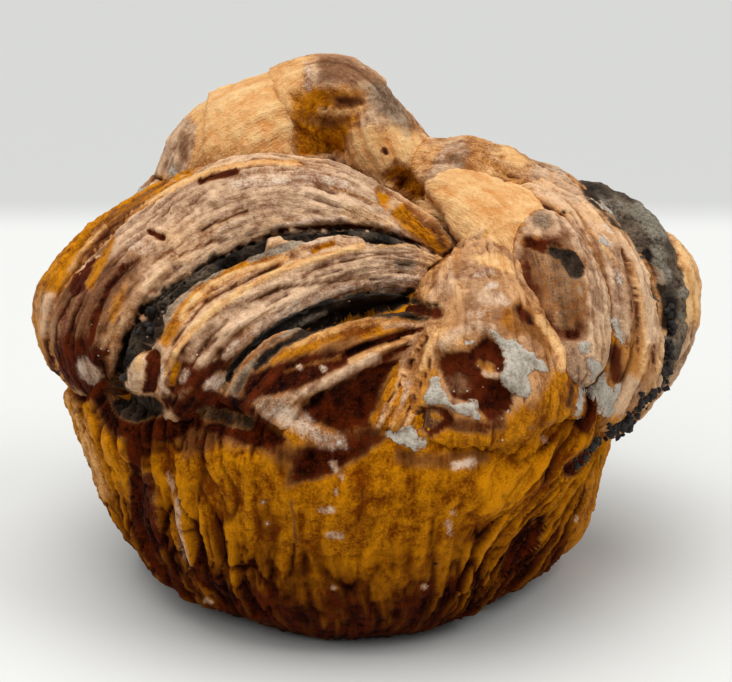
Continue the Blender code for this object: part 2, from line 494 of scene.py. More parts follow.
# the cup, whose side took the tin's shape: radius and height up its outline, in mm
cupLook = {
    "outline": [(22, 0), (27, 1), (31.4, 3.5), (35, 7.5), (37.5, 12.5), (39.5, 18), (41.2, 24),
                (42.5, 31), (40, 37), (34, 42.5), (24, 47.5), (0, 51)],
    "faceSize": 0.42,
    "shown": 40,          # mm, the height above which the folds hide it
    "fibre": 1.9,         # mm between the fibres that run up its side
    "fibreDepth": 1.25,
    "creases": (3.2, 1.7),     # mm between the dark ones
    "panel": (-0.32, -0.25, 0.6, 0.3),     # the smoother front, in radians round it
    "radius": 41,         # mm, at which its faces are faceSize wide
}

# how far two folds melt into each other, in mm; the others meet in a narrow crack
melts = {
    ("crownFront", "crownBack"): 5, ("crownFront", "frontEnd"): 7, ("crownFront", "frontSide"): 4,
    ("crownFront", "rightInner"): 5, ("crownBack", "rightInner"): 5, ("crownBack", "loopTop"): 5,
    ("frontEnd", "frontSide"): 3, ("frontSide", "rightInner"): 3, ("frontEnd", "cup"): 11,
    ("frontEnd", "leftLast"): 2, ("frontEnd", "rightInner"): 4, ("loopLeft", "loopTop"): 14,
    ("leftLast", "cup"): 8, ("leftLower", "cup"): 8, ("leftMiddle", "cup"): 3, ("leftBroad", "cup"): 3,
    ("leftOuter", "cup"): 4, ("rightInner", "cup"): 4, ("rightHem", "cup"): 3, ("rightOuter", "cup"): 3,
    ("leftOuter", "leftBroad"): 2.5, ("leftOuter", "loopLeft"): 2, ("loopLeft", "backUpper"): 3,
    ("loopTop", "backUpper"): 3, ("crownBack", "backUpper"): 3, ("backLower", "cup"): 4,
    ("leftOuter", "backMiddle"): 3, ("leftOuter", "backUpper"): 2, ("rightOuter", "backMiddle"): 3,
    ("rightOuter", "backUpper"): 2, ("rightOuter", "backLower"): 3, ("backMiddle", "cup"): 4,
    ("leftLower", "leftLast"): 1.5,
}
narrowCrack = 0.8

# where the dough swells or sinks beyond its folds' plain shape: the middle, how far round it this
# reaches, and how much it moves, in mm
swells = (
    ((-19, 20, 74), 8, -1.6), ((-29, 17, 62), 8, -0.6), ((9, 16, 71), 12, -1.1),       # the loop
    ((-5, 19, 75), 11, -1.5), ((20, 10, 67), 10, -0.3), ((26, 10, 65), 6, -0.7),       # and the crown
    ((-46, 2, 47), 9, 1.6), ((-48, 0, 37), 10, -1.9),                                  # the left side
    ((53, 8, 33), 9, -1.4), ((54, 10, 46), 9, 0.2), ((46, 16, 54), 9, -1.4),           # the right side
    ((38, -8, 20), 10, -2.0), ((33, -10, 4), 10, 1.2), ((4, -30, 3), 16, 2.0),         # the cup
    ((-34, -3, 5), 7, 1.0),
)

# burn and painted shade darkening the crack between two folds: the tone, how strongly, how far up its sides
# in mm
cracks = {
    ("leftBroad", "leftMiddle"): ("char", 1.0, 0.8),
    ("leftMiddle", "leftLower"): ("char", 1.0, 0.7),
    ("leftLower", "leftLast"): ("maroon", 1.0, 1.2),
    ("rightInner", "rightOuter"): ("char", 1.0, 1.5),
    ("backUpper", "backMiddle"): ("char", 1, 2.5),
    ("backMiddle", "backLower"): ("maroon", 1, 3),
    ("loopLeft", "leftBroad"): ("amber", 0.8, 1.5),
    ("loopTop", "leftBroad"): ("amber", 0.8, 2),
    ("crownFront", "frontEnd"): ("amber", 0.0, 1),
    ("loopLeft", "loopTop"): ("amber", 0.0, 1),
    ("frontEnd", "cup"): ("amber", 0.6, 3),
    ("crownFront", "crownBack"): ("amber", 0.0, 1),
    ("crownFront", "leftBroad"): ("maroon", 1, 2),
}
plainCrack = ("amber", 0.55, 1.2)
kinds = tuple(crustLayers)


def spread(name, path):
    # an even sheet of faces over a fold, from a ball that is drawn out along its path
    half = np.sqrt(np.array([row[3] * row[4] for row in (path[0], path[-1])]))
    _, length = alongPath(path, np.array([0.0]))
    cap = half * math.pi / 2
    whole = length - half.sum() + cap.sum()
    girth = math.pi * max(row[3] + row[4] for row in path)
    rings = round(whole / faceSize)
    segments = round(girth / faceSize * (1 - crowding))
    bm = bmesh.new()
    bmesh.ops.create_uvsphere(bm, u_segments=segments, v_segments=rings, radius=1)
    mesh = meshFrom(name, bm)
    ball = readPlaces(mesh)
    walked = np.arccos(np.clip(ball[:, 2], -1, 1)) / math.pi * whole
    first = half[0] * (1 - np.cos(np.clip(walked / half[0], 0, math.pi / 2)))
    last = half[1] * (1 - np.cos(np.clip((whole - walked) / half[1], 0, math.pi / 2)))
    middle = half[0] + walked - cap[0]
    run = np.where(walked < cap[0], first, np.where(walked > whole - cap[1], length - last, middle))
    turn = np.arctan2(ball[:, 1], ball[:, 0])
    turn = turn + crowding * np.cos(turn)
    return mesh, run / length, turn


def readPlaces(mesh, what="co"):
    values = np.empty(len(mesh.vertices) * 3, np.float32)
    mesh.vertices.foreach_get(what, values)
    return values.reshape(-1, 3).astype(float)


def writePlaces(mesh, places):
    places = np.column_stack([places[:, :2], np.maximum(places[:, 2], 0)])     # nothing goes below the floor
    mesh.vertices.foreach_set("co", (places * mm).astype(np.float32).ravel())
    mesh.update()


def roundEnds(here, share, length):
    # each end closes in a quarter round, as long as the roll is thick there
    toEnd = np.minimum(share, 1 - share) * length / np.sqrt(here[:, 3] * here[:, 4])
    return np.sqrt(1 - (1 - np.clip(toEnd, 0, 1)) ** 2)


def drawOut(path, share, turn):
    # where the ball's points come to lie on the roll along the path
    here, out, side, length = pathFrame(path, share)
    swell = roundEnds(here, share, length)
    across = (here[:, 3] * swell * np.cos(turn))[:, None] * side
    through = (here[:, 4] * swell * np.sin(turn))[:, None] * out
    return here[:, :3] + across + through, length


farGap = 50.0        # mm, for a place that a neighbour doesn't reach


def gapTo(path, places):
    # roughly how far each place lies outside the fold, in mm; negative inside
    share = np.linspace(0, 1, 48)
    here, out, side, length = pathFrame(path, share)
    swell = np.clip(roundEnds(here, share, length), 0.15, 1)
    tangent = np.cross(out, side)
    gaps = np.full(len(places), farGap)
    for k in range(len(share)):
        away = places - here[k, :3]
        along = (away @ tangent[k]) / 3
        wide, deep = here[k, 3] * swell[k], here[k, 4] * swell[k]
        reach = np.sqrt((away @ side[k] / wide) ** 2 + (away @ out[k] / deep) ** 2 + along**2 * 0.12)
        gaps = np.minimum(gaps, (reach - 1) * min(wide, deep))
    return gaps


def gapToCup(places):
    side = smoothCurve(cupLook["outline"], np.linspace(0, 1, 70))
    radius = np.linalg.norm(places[:, :2], axis=1)
    away = np.full(len(places), farGap)
    for reach, height in side:
        away = np.minimum(away, np.hypot(radius - reach, places[:, 2] - height))
    order = np.argsort(side[:, 1])
    limit = np.interp(places[:, 2], side[order, 1], side[order, 0], right=0)
    return np.where(radius < limit, -away, away)


def neighbourGaps(name, places):
    # for each neighbour that comes near, the gap between it and every place
    low, high = places.min(axis=0), places.max(axis=0)
    for other, look in folds.items():
        rows = np.array(look["path"])
        wide = rows[:, 3:].max()
        apart = np.maximum(rows[:, :3].min(axis=0) - wide - high, low - rows[:, :3].max(axis=0) - wide)
        if other == name or apart.max() > 2:
            continue
        close = np.all(places > rows[:, :3].min(axis=0) - wide - 3, axis=1)
        close &= np.all(places < rows[:, :3].max(axis=0) + wide + 3, axis=1)
        gaps = np.full(len(places), farGap)
        if close.any():
            gaps[close] = gapTo(look["path"], places[close])
        yield other, gaps
    if name != "cup":
        yield "cup", gapToCup(places)


def pairOf(table, first, second, plain):
    return table.get((first, second), table.get((second, first), plain))


# the cinnamon filling, burnt where it shows between two folds: the stretch of each fold that it
# follows, half its thickness and how far it stands out at both ends, and how far its first end is
# shifted, in mm; trough is how deep the folds sink along it
fillings = {
    "fillingLeftUpper": {
        "node": "filling_left_upper", "between": ("leftBroad", "leftMiddle"),
        "stretch": ((0.12, 0.93), (0.12, 0.93)), "half": (0.5, 0.9), "proud": (0, 1.2), "rough": 0.5,
        "ash": 0.1, "char": 0.6, "trough": 0.7, "swell": 0,
    },
    "fillingLeftLower": {
        "node": "filling_left_lower", "between": ("leftMiddle", "leftLower"),
        "stretch": ((0.12, 0.93), (0.12, 0.93)), "half": (0.5, 0.9), "proud": (0.4, 1.2), "rough": 0.5,
        "ash": 0, "char": 0.8, "trough": 0.7, "swell": 0,
    },
    "fillingRight": {
        "node": "filling_right", "between": ("rightInner", "rightOuter"),
        "stretch": ((0.15, 0.92), (0.25, 0.9)), "half": (4.6, 1.6), "proud": (4.9, 3.0), "rough": 0.6,
        "shift": (0.8, 0.5, 1.8),
        "ash": 0.26, "char": 0.15, "trough": 1.6, "swell": 0.5,
    },
}
sheetReach = 6        # mm, half the depth that it runs into the dough
sheetPoints = 7


def fillingPath(look):
    # along the groove between two folds, standing on edge in it
    near, _ = alongPath(folds[look["between"][0]]["path"], np.linspace(*look["stretch"][0], sheetPoints))
    far, _ = alongPath(folds[look["between"][1]]["path"], np.linspace(*look["stretch"][1], sheetPoints))
    part = near[:, 3] / (near[:, 3] + far[:, 3])
    middle = near[:, :3] + (far[:, :3] - near[:, :3]) * part[:, None]
    reach = np.linalg.norm(middle - near[:, :3], axis=1) / near[:, 3]
    groove = near[:, 4] * np.sqrt(np.clip(1 - reach**2, 0, 1))
    proud = np.linspace(*look["proud"], sheetPoints)
    centre = middle + unit(middle - hub) * (groove + proud - sheetReach)[:, None]
    if "shift" in look:
        centre += np.linspace(1, 0, sheetPoints)[:, None] ** 2 * np.array(look["shift"])
    half = np.linspace(*look["half"], sheetPoints)
    return [tuple(row) for row in np.column_stack([centre, half, np.full(sheetPoints, sheetReach)])]


def foldShape(name, path):
    mesh, share, turn = spread(name, path)
    places, length = drawOut(path, share, turn)
    writePlaces(mesh, places)
    normals = readPlaces(mesh, "normal")
    return {"mesh": mesh, "places": places, "smooth": normals, "share": share, "turn": turn, "length": length}


markLook = {
    "cell": 5,           # pixels, in the picture of how near the first surface lies
    "slack": 5,          # mm, how far behind that surface the marks still reach
    "turned": 0.25,      # how far a surface may face away, as a cosine
    "steepest": 0.7,     # mm of relief for each mm of a line's width, at most
    "wander": (0.6, 0.7),     # how far a line's and a patch's edge wander, of its half width
}


def depthSeen(everyShape):
    # how near the photograph's camera the first surface lies, in small cells of its picture
    down, across = (photoView[side] // markLook["cell"] + 1 for side in ("height", "width"))
    seen = np.full((down, across), 1e9)
    for shape in everyShape:
        pixels, depth = toPixels(shape["places"])
        cell = (pixels / markLook["cell"]).astype(int)
        inside = np.all((cell >= 0) & (cell < (seen.shape[1], seen.shape[0])), axis=1)
        np.minimum.at(seen, (cell[inside, 1], cell[inside, 0]), depth[inside])
    return seen


def stroke(kind, strength, width, deep, *line):
    # a line of browning or dust: width and relief in mm, its points in the photograph's pixels
    most = width * markLook["steepest"]
    deep = max(min(deep, most), -most)
    return {"kind": kind, "strength": strength, "half": width * pixelsPerMm / 2, "deep": deep, "line": line}


def area(kind, strength, soft, deep, *outline):
    # a patch inside an outline; soft is how many pixels its edge takes
    return {"kind": kind, "strength": strength, "half": soft, "deep": deep, "outline": outline}


# the burnt band at the right, and then the marks on each piece, in the photograph's pixels
bandOutline = (
    (578, 186), (588, 200), (602, 214), (615, 228), (630, 238), (642, 254), (651, 270), (657, 290),
    (661, 308), (662, 330), (672, 330), (679, 306), (680, 285), (675, 256), (662, 230), (648, 210),
    (630, 196), (605, 184),
)
# Some marks are painted light: maroon and char in the grooves, hollows and under the folds are partly painted
# shade, and gold and haze along the crests and lips partly a painted highlight
marks = {
    "leftOuter": [
        area("amber", 0.55, 10, 0, (40, 260), (100, 215), (150, 185), (160, 195), (110, 240), (80, 290),
             (70, 345), (50, 385), (36, 330)),
        area("maroon", 0.5, 6, 0, (78, 248), (100, 215), (150, 188), (160, 200), (120, 240), (92, 264)),
        area("maroon", 0.42, 12, 0, (60, 262), (110, 225), (150, 198), (120, 240), (84, 290), (70, 340),
             (48, 330)),
        stroke("amber", 1, 2.2, -0.2, (195, 166), (170, 175), (150, 190), (130, 198), (112, 210), (95, 225),
               (84, 242)),
        stroke("maroon", 0.6, 0.8, -0.3, (172, 178), (146, 194), (118, 208), (92, 232)),
        stroke("gold", 0.5, 0.8, 0.2, (104, 226), (84, 248), (68, 270)),
        stroke("amber", 0.9, 1.5, -0.3, (80, 242), (66, 262), (52, 290)),
        stroke("toast", 0.8, 3.0, 0, (48, 300), (48, 330), (56, 345)),
        area("maroon", 0.7, 4, 0, (42, 340), (60, 338), (78, 356), (82, 382), (62, 384), (50, 365)),
    ],
    "leftBroad": [
        # painted shade: the fold's lower left, turned from the light, darker
        area("maroon", 0.62, 14, 0, (60, 250), (100, 235), (135, 235), (150, 262), (130, 300), (105, 345),
             (95, 385), (60, 385), (45, 300)),
        # painted highlight: the fold's top, where the light falls, paler
        area("haze", 0.5, 12, 0, (240, 172), (300, 168), (350, 182), (385, 208), (380, 216), (330, 200),
             (270, 192), (225, 196)),
        stroke("toast", 0.7, 6, 0, (120, 240), (150, 215), (200, 195), (300, 195), (350, 205)),
        stroke("gold", 1, 0.8, 0.2, (300, 163), (262, 162), (240, 165), (218, 169), (200, 175), (180, 184),
               (165, 193), (150, 203)),
        area("maroon", 1, 2, -0.5, (94, 244), (104, 240), (101, 255), (92, 272), (84, 290), (73, 297),
             (70, 290), (78, 268)),
        stroke("amber", 0.8, 1.6, -0.1, (110, 240), (102, 258), (90, 284)),
        stroke("maroon", 0.9, 0.8, -0.6, (124, 268), (110, 285), (102, 302), (94, 325), (90, 342)),
        area("amber", 0.6, 3, -0.1, (128, 278), (114, 296), (106, 320), (114, 325), (124, 302)),
        stroke("maroon", 0.5, 0.5, -0.4, (140, 258), (128, 266), (118, 276)),
        stroke("maroon", 0.5, 0.5, -0.4, (120, 318), (112, 338), (106, 355)),
        stroke("haze", 0.5, 3.0, 0, (134, 244), (146, 250)),
        stroke("maroon", 1, 0.9, -0.8, (149, 231), (156, 235), (163, 238)),
        stroke("maroon", 0.75, 0.5, -0.5, (203, 230), (215, 223), (230, 217), (248, 211)),
        stroke("haze", 0.4, 0.6, 0.2, (200, 237), (225, 227), (255, 217)),
        stroke("maroon", 0.65, 0.5, -0.4, (180, 256), (200, 246), (225, 238)),
        stroke("maroon", 0.5, 0.5, -0.4, (152, 262), (175, 248), (190, 236)),
        stroke("maroon", 0.5, 0.4, -0.3, (170, 214), (188, 206), (198, 202)),
        stroke("maroon", 1, 1.0, -0.3, (201, 181), (214, 177), (236, 172)),
        # paler lines near the top: sugar and a painted highlight
        stroke("haze", 0.6, 1.6, 0.15, (300, 174), (325, 180), (345, 185)),
        stroke("haze", 0.45, 1.2, 0.1, (232, 184), (270, 182), (300, 182)),
        stroke("toast", 0.9, 0.8, 0, (252, 190), (260, 191)),
        stroke("char", 0.5, 0.5, 0, (255, 190), (257, 190)),
        stroke("char", 0.4, 0.5, 0, (288, 218), (293, 218)),
        stroke("char", 0.5, 0.4, -0.2, (259, 224), (261, 225)),
        stroke("char", 0.4, 0.4, -0.2, (319, 197), (321, 197)),
        # along the lip over the groove: sugar and a painted highlight
        stroke("haze", 0.6, 0.9, 0.35, (276, 226), (300, 222), (318, 219), (345, 219)),
        stroke("haze", 0.4, 0.8, 0.3, (360, 221), (380, 225), (400, 231)),
        stroke("gold", 0.45, 0.6, 0.3, (330, 187), (352, 193), (376, 205)),
        stroke("gold", 0.35, 2.6, 0, (350, 212), (385, 226)),
        stroke("haze", 0.55, 3.0, 0, (84, 370), (94, 380)),
        stroke("maroon", 0.6, 1.2, -0.3, (82, 345), (84, 362)),
    ],
    "leftMiddle": [
        area("haze", 0.3, 10, 0, (240, 300), (290, 282), (350, 266), (420, 258), (430, 276), (380, 280),
             (310, 296), (262, 318)),
        area("maroon", 0.9, 12, 0, (180, 342), (215, 318), (250, 330), (235, 360), (215, 395), (165, 398),
             (165, 362)),
        stroke("amber", 0.75, 2.2, 0, (166, 340), (180, 314), (200, 292), (222, 276), (245, 266),
               (275, 258)),
        stroke("gold", 0.85, 0.9, 0.3, (180, 318), (195, 298), (212, 284), (235, 273), (262, 265),
               (285, 259)),
        stroke("maroon", 0.7, 0.6, -0.5, (172, 345), (186, 325), (205, 303), (228, 288), (255, 276),
               (280, 266)),
        # gold along the crest: the crust's own tone and a painted highlight
        stroke("gold", 1, 1.0, 0.4, (176, 352), (190, 332), (215, 309), (240, 291), (262, 279), (290, 266),
               (320, 258), (345, 251), (362, 246)),
        stroke("gold", 0.9, 0.7, 0.4, (380, 246), (405, 243), (420, 244), (434, 250), (441, 258)),
        stroke("toast", 0.9, 4.5, 0, (200, 352), (240, 315), (290, 290), (350, 268), (400, 262)),
        stroke("amber", 1, 0.9, -0.5, (314, 251), (322, 246), (333, 243)),
        stroke("haze", 0.4, 1.3, 0.2, (305, 245), (325, 238), (345, 235), (360, 238)),
        stroke("maroon", 0.5, 0.5, -0.4, (228, 320), (210, 338), (192, 364)),
        stroke("maroon", 0.6, 0.5, -0.4, (250, 302), (280, 288), (315, 283), (350, 280), (390, 279)),
        stroke("maroon", 0.5, 0.5, -0.35, (226, 345), (245, 325), (275, 308)),
        stroke("maroon", 0.5, 0.4, -0.3, (300, 272), (340, 262), (380, 254), (420, 252)),
        # along the lip over the lower groove: sugar and a painted highlight
        stroke("haze", 0.55, 1.7, 0.4, (226, 355), (250, 334), (275, 318), (300, 305), (330, 295),
               (360, 286), (390, 281), (425, 281)),
        stroke("haze", 0.9, 1.2, 0.1, (343, 287), (350, 286)),
        stroke("ash", 0.75, 1.5, 0, (398, 265), (412, 265)),
        stroke("haze", 0.8, 0.9, 0.1, (372, 294), (385, 292), (402, 290)),
        stroke("ash", 0.7, 0.8, 0, (340, 304), (360, 298), (378, 296)),
        area("amber", 1, 2, -0.9, (429, 268), (440, 262), (450, 266), (450, 285), (446, 300), (438, 298),
             (430, 288)),
        stroke("maroon", 0.9, 1.0, -0.5, (442, 270), (446, 280), (444, 296)),
        stroke("gold", 0.6, 0.8, 0.3, (176, 352), (168, 368), (164, 380)),
        stroke("haze", 0.8, 0.9, 0.3, (162, 368), (160, 384), (168, 393)),
        stroke("amber", 1, 1.3, -0.4, (176, 366), (172, 382)),
        stroke("haze", 0.5, 1.2, 0.2, (182, 380), (186, 372)),
        stroke("haze", 0.85, 2.2, 0.1, (212, 386), (222, 378)),
        stroke("haze", 0.9, 0.7, 0.3, (240, 324), (241, 325)),
    ],
    "leftLower": [
        area("maroon", 0.55, 12, 0, (225, 372), (262, 345), (320, 320), (400, 312), (440, 318), (440, 420),
             (240, 430)),
        area("amber", 1, 5, -3.2, (180, 402), (215, 404), (250, 424), (300, 438), (345, 458), (350, 492),
             (200, 492), (170, 450)),
        stroke("amber", 0.8, 3.0, 0.1, (262, 366), (290, 352), (320, 338), (350, 329), (400, 324)),
        stroke("gold", 0.4, 1.2, 0.3, (290, 346), (320, 334), (350, 326), (380, 322), (405, 323)),
        stroke("toast", 0.7, 1.0, 0.2, (385, 327), (405, 324), (415, 327)),
        area("maroon", 0.95, 8, -0.6, (252, 372), (275, 365), (300, 358), (330, 354), (352, 356),
             (345, 366), (320, 378), (295, 388), (270, 398), (252, 402), (245, 392)),
        stroke("amber", 0.5, 0.8, 0.2, (285, 372), (310, 364), (340, 358)),
        stroke("haze", 0.9, 0.8, 0.3, (298, 367), (300, 367)),
        stroke("haze", 0.8, 0.8, 0.3, (322, 369), (325, 370)),
    ],
    "leftLast": [
        area("amber", 1, 5, -2.6, (340, 446), (380, 432), (432, 436), (440, 480), (340, 490)),
        stroke("amber", 0.9, 6.0, 0, (425, 335), (400, 370), (385, 400), (375, 425)),
    ],
    "frontEnd": [
        area("amber", 1, 9, -2.6, (420, 446), (460, 452), (500, 452), (540, 440), (580, 420), (610, 420),
             (600, 500), (430, 500)),
        stroke("amber", 0.9, 7, 0, (436, 436), (470, 440), (505, 438), (545, 424), (575, 392)),
        area("amber", 0.7, 8, -0.4, (556, 372), (574, 348), (590, 372), (596, 420), (565, 445), (530, 440),
             (545, 404)),
        stroke("amber", 0.5, 5, 0, (430, 380), (420, 410)),
        area("maroon", 0.42, 12, 0, (440, 290), (500, 280), (520, 310), (548, 330), (552, 362), (500, 330),
             (440, 330)),
        # painted highlight along the knob's top edge
        area("gold", 1, 3, 0.1, (470, 256), (500, 253), (512, 262), (515, 272), (500, 270), (482, 264)),
        stroke("haze", 0.8, 1.2, 0.2, (478, 275), (490, 271)),
        stroke("haze", 0.8, 1.0, 0.1, (489, 286), (495, 285)),
        stroke("toast", 0.7, 2.2, 0, (484, 297), (496, 300)),
        stroke("gold", 0.35, 2.0, 0.2, (462, 288), (450, 310), (436, 340), (430, 362)),
        stroke("haze", 0.35, 2.0, 0, (470, 315), (486, 314)),
        stroke("haze", 0.4, 1.4, 0, (500, 298), (508, 304)),
        area("amber", 0.6, 5, -0.1, (505, 308), (518, 302), (535, 315), (548, 335), (552, 350), (545, 358),
             (530, 350), (515, 335), (500, 322)),
        area("maroon", 0.42, 8, 0, (512, 312), (530, 312), (546, 330), (550, 350), (530, 350), (512, 335)),
        stroke("maroon", 0.7, 1.6, -0.3, (518, 308), (530, 320)),
        stroke("toast", 0.5, 2.0, 0, (524, 340), (540, 352)),
        stroke("gold", 0.8, 1.2, 0.6, (538, 318), (551, 335), (560, 352), (562, 368)),
        stroke("toast", 0.7, 1.6, 0.7, (442, 345), (452, 335), (475, 326), (492, 330)),
        area("maroon", 1, 3, -1.6, (444, 350), (470, 350), (486, 336), (500, 345), (506, 360), (502, 382),
             (516, 394), (508, 410), (488, 419), (472, 404), (452, 398), (444, 380), (440, 362)),
        area("toast", 0.42, 7, 0.4, (446, 374), (460, 370), (472, 378), (472, 392), (458, 396), (446, 390)),
        stroke("toast", 0.9, 1.5, 0.4, (486, 373), (496, 376)),
        stroke("amber", 0.6, 1.5, 0.3, (480, 364), (492, 368)),
        area("maroon", 1, 5, -0.8, (478, 384), (498, 380), (512, 392), (510, 410), (492, 418), (478, 404)),
        area("maroon", 1, 3, -1.2, (416, 410), (430, 404), (448, 408), (452, 418), (442, 432), (430, 438),
             (416, 424)),
        area("char", 0.45, 4, 0, (418, 412), (430, 407), (444, 411), (440, 426), (428, 432), (418, 422)),
        stroke("amber", 0.7, 1.0, 0.2, (434, 415), (440, 418)),
        stroke("maroon", 0.75, 1.0, -0.3, (577, 362), (573, 385), (568, 405)),
        stroke("maroon", 0.8, 0.9, -0.2, (455, 453), (480, 456), (500, 452)),
        # painted shade under the knob's icing patch
        stroke("maroon", 0.7, 2.4, -0.2, (452, 424), (485, 428), (500, 422)),
        stroke("maroon", 0.5, 1.0, -0.2, (530, 428), (555, 422)),
    ],
    "frontSide": [
        area("maroon", 0.8, 10, 0, (522, 236), (560, 232), (584, 262), (588, 330), (560, 345), (535, 320),
             (515, 270)),
        area("ash", 0.7, 5, 0.2, (530, 216), (540, 210), (550, 214), (557, 225), (548, 231), (530, 229)),
        stroke("amber", 0.9, 1.3, -0.2, (524, 243), (536, 241)),
        stroke("char", 1, 2.2, -0.5, (570, 258), (576, 268)),
        stroke("ash", 0.75, 2.2, 0, (571, 274), (580, 288)),
        stroke("maroon", 0.8, 1.6, -0.2, (562, 331), (575, 336)),
        area("char", 0.66, 12, 0, (530, 250), (560, 250), (580, 275), (582, 318), (562, 332), (545, 300)),
        area("toast", 0.3, 12, 0, (530, 250), (560, 250), (578, 275), (578, 312), (562, 328), (545, 300)),
        stroke("maroon", 1, 1.6, -0.5, (528, 242), (545, 248), (557, 250)),
        stroke("char", 0.9, 1.5, -0.2, (551, 250), (562, 256)),
        stroke("char", 1.5, 2.2, -0.5, (569, 257), (576, 269)),
    ],
    "crownFront": [
        stroke("gold", 1, 8, 0, (460, 205), (490, 185), (525, 200)),
        stroke("toast", 0.7, 1.2, 0.6, (482, 230), (474, 240), (460, 250)),
        stroke("amber", 0.8, 0.6, -0.5, (487, 231), (483, 245), (478, 252)),
        stroke("amber", 0.9, 0.5, -0.4, (450, 259), (475, 256)),
        stroke("maroon", 0.7, 0.8, -0.5, (450, 238), (458, 243)),
    ],
    "crownBack": [
        area("toast", 0.95, 4, 0, (445, 145), (462, 140), (470, 150), (466, 168), (455, 176), (442, 178),
             (434, 190), (425, 200), (425, 180), (434, 160)),
        stroke("ash", 0.6, 2.2, 0, (455, 158), (460, 163)),
        stroke("haze", 0.5, 1.2, 0, (448, 150), (454, 150)),
        stroke("amber", 1, 1.1, -0.2, (551, 172), (552, 179)),
        area("toast", 0.8, 5, 0, (540, 160), (565, 170), (580, 190), (575, 205), (550, 195), (530, 178)),
        stroke("amber", 0.45, 1.0, -0.6, (484, 160), (500, 168), (514, 181)),
        # painted highlight on the crown's top
        stroke("gold", 0.9, 2.0, 0.4, (508, 152), (520, 162)),
        stroke("amber", 0.3, 2.0, 0, (480, 145), (470, 165)),
    ],
    "rightInner": [
        area("maroon", 0.5, 12, 0, (604, 230), (636, 262), (656, 310), (660, 370), (636, 408), (600, 420),
             (588, 380), (606, 330), (598, 270)),
        area("amber", 0.45, 12, 0, (596, 330), (640, 330), (650, 380), (620, 425), (580, 430), (575, 380)),
        # gold and pale lines along the ridges are partly a painted highlight, the thin maroon lines between
        # them partly painted shade
        stroke("gold", 0.75, 2.2, 0.3, (588, 256), (597, 285), (603, 305), (600, 324)),
        stroke("maroon", 0.75, 0.5, -0.6, (578, 222), (588, 243), (597, 268), (607, 292), (609, 318)),
        stroke("toast", 0.9, 2.4, 0, (614, 262), (620, 300), (624, 335)),
        stroke("gold", 0.5, 0.8, 0.4, (590, 230), (606, 248), (616, 264)),
        stroke("gold", 0.6, 0.9, 0.5, (629, 262), (637, 288), (644, 320), (646, 345), (642, 372)),
        stroke("maroon", 0.6, 0.5, -0.5, (622, 250), (633, 284), (637, 315), (637, 350)),
        stroke("maroon", 0.6, 0.5, -0.5, (638, 252), (650, 284), (655, 320), (653, 362)),
        stroke("gold", 0.55, 0.7, 0.4, (650, 275), (659, 310), (662, 340), (658, 372)),
        stroke("toast", 0.8, 1.6, 0, (644, 270), (650, 300), (652, 340)),
        stroke("haze", 0.9, 0.9, 0.2, (602, 237), (612, 246)),
        stroke("haze", 0.9, 1.3, 0.2, (616, 270), (622, 284)),
        stroke("haze", 0.5, 1.0, 0.1, (570, 226), (578, 232)),
        stroke("haze", 0.5, 1.0, 0.1, (606, 226), (612, 232)),
        stroke("char", 1, 0.6, -0.4, (564, 212), (565, 213)),
        stroke("amber", 0.9, 1.8, 0, (599, 332), (612, 342)),
        stroke("maroon", 0.7, 2, -0.2, (613, 350), (617, 378)),
        stroke("maroon", 0.8, 1.6, -0.3, (586, 358), (590, 366)),
        stroke("maroon", 0.8, 1.4, -0.3, (590, 392), (592, 408)),
        stroke("toast", 0.8, 3, 0, (632, 385), (620, 405)),
    ],
    "rightOuter": [
        area("gold", 0.6, 6, 0, (672, 232), (684, 240), (702, 290), (704, 330), (696, 360), (684, 360),
             (680, 330), (684, 290), (680, 258)),
        stroke("toast", 0.85, 3.5, 0, (690, 335), (680, 360), (666, 385)),
        stroke("haze", 0.5, 1.2, 0, (680, 306), (678, 318)),
    ],
    "loopLeft": [
        stroke("gold", 1, 9, 0, (205, 130), (225, 105), (255, 105), (262, 140)),
        area("toast", 1, 4, 0, (186, 114), (198, 126), (194, 150), (186, 168), (160, 176), (152, 170),
             (170, 130)),
        stroke("maroon", 0.5, 1.6, 0, (184, 135), (184, 158)),
        stroke("amber", 1, 1.0, -0.3, (298, 92), (292, 104), (292, 112)),
        stroke("amber", 0.7, 1.6, -0.3, (282, 118), (286, 150)),
        stroke("amber", 0.4, 3.0, 0, (205, 160), (235, 155)),
        stroke("haze", 0.7, 1.0, 0.2, (220, 158), (221, 159)),
    ],
    "loopTop": [
        area("gold", 0.85, 9, 0, (262, 70), (300, 56), (312, 54), (310, 76), (300, 92), (292, 130),
             (290, 160), (270, 160), (262, 110)),
        area("toast", 1, 9, 0, (314, 60), (328, 54), (350, 56), (375, 70), (402, 100), (412, 122),
             (392, 128), (372, 116), (364, 98), (340, 90), (316, 92), (306, 84)),
        area("maroon", 0.58, 9, 0, (318, 56), (352, 56), (376, 72), (398, 98), (404, 120), (380, 122),
             (366, 98), (340, 86), (318, 84)),
        # painted light: the loop's right leg, which lies in shade, made paler in gold
        area("gold", 1.3, 9, 0, (352, 128), (380, 122), (408, 126), (420, 142), (408, 158), (394, 168),
             (372, 176), (348, 160)),
        stroke("toast", 0.6, 3.0, 0, (364, 120), (380, 126)),
        stroke("maroon", 0.8, 1.0, 0, (384, 150), (386, 153)),
        area("amber", 1, 11, -1.3, (300, 100), (314, 90), (335, 87), (364, 93), (364, 108), (352, 128),
             (344, 150), (336, 166), (316, 170), (296, 158), (294, 130)),
        area("maroon", 0.75, 6, -0.1, (330, 98), (346, 94), (365, 97), (366, 105), (350, 110), (332, 107)),
        area("maroon", 0.6, 7, -0.1, (306, 116), (322, 112), (350, 116), (346, 126), (326, 128),
             (306, 126)),
        area("maroon", 0.8, 5, -0.1, (314, 154), (326, 151), (336, 156), (330, 167), (318, 167)),
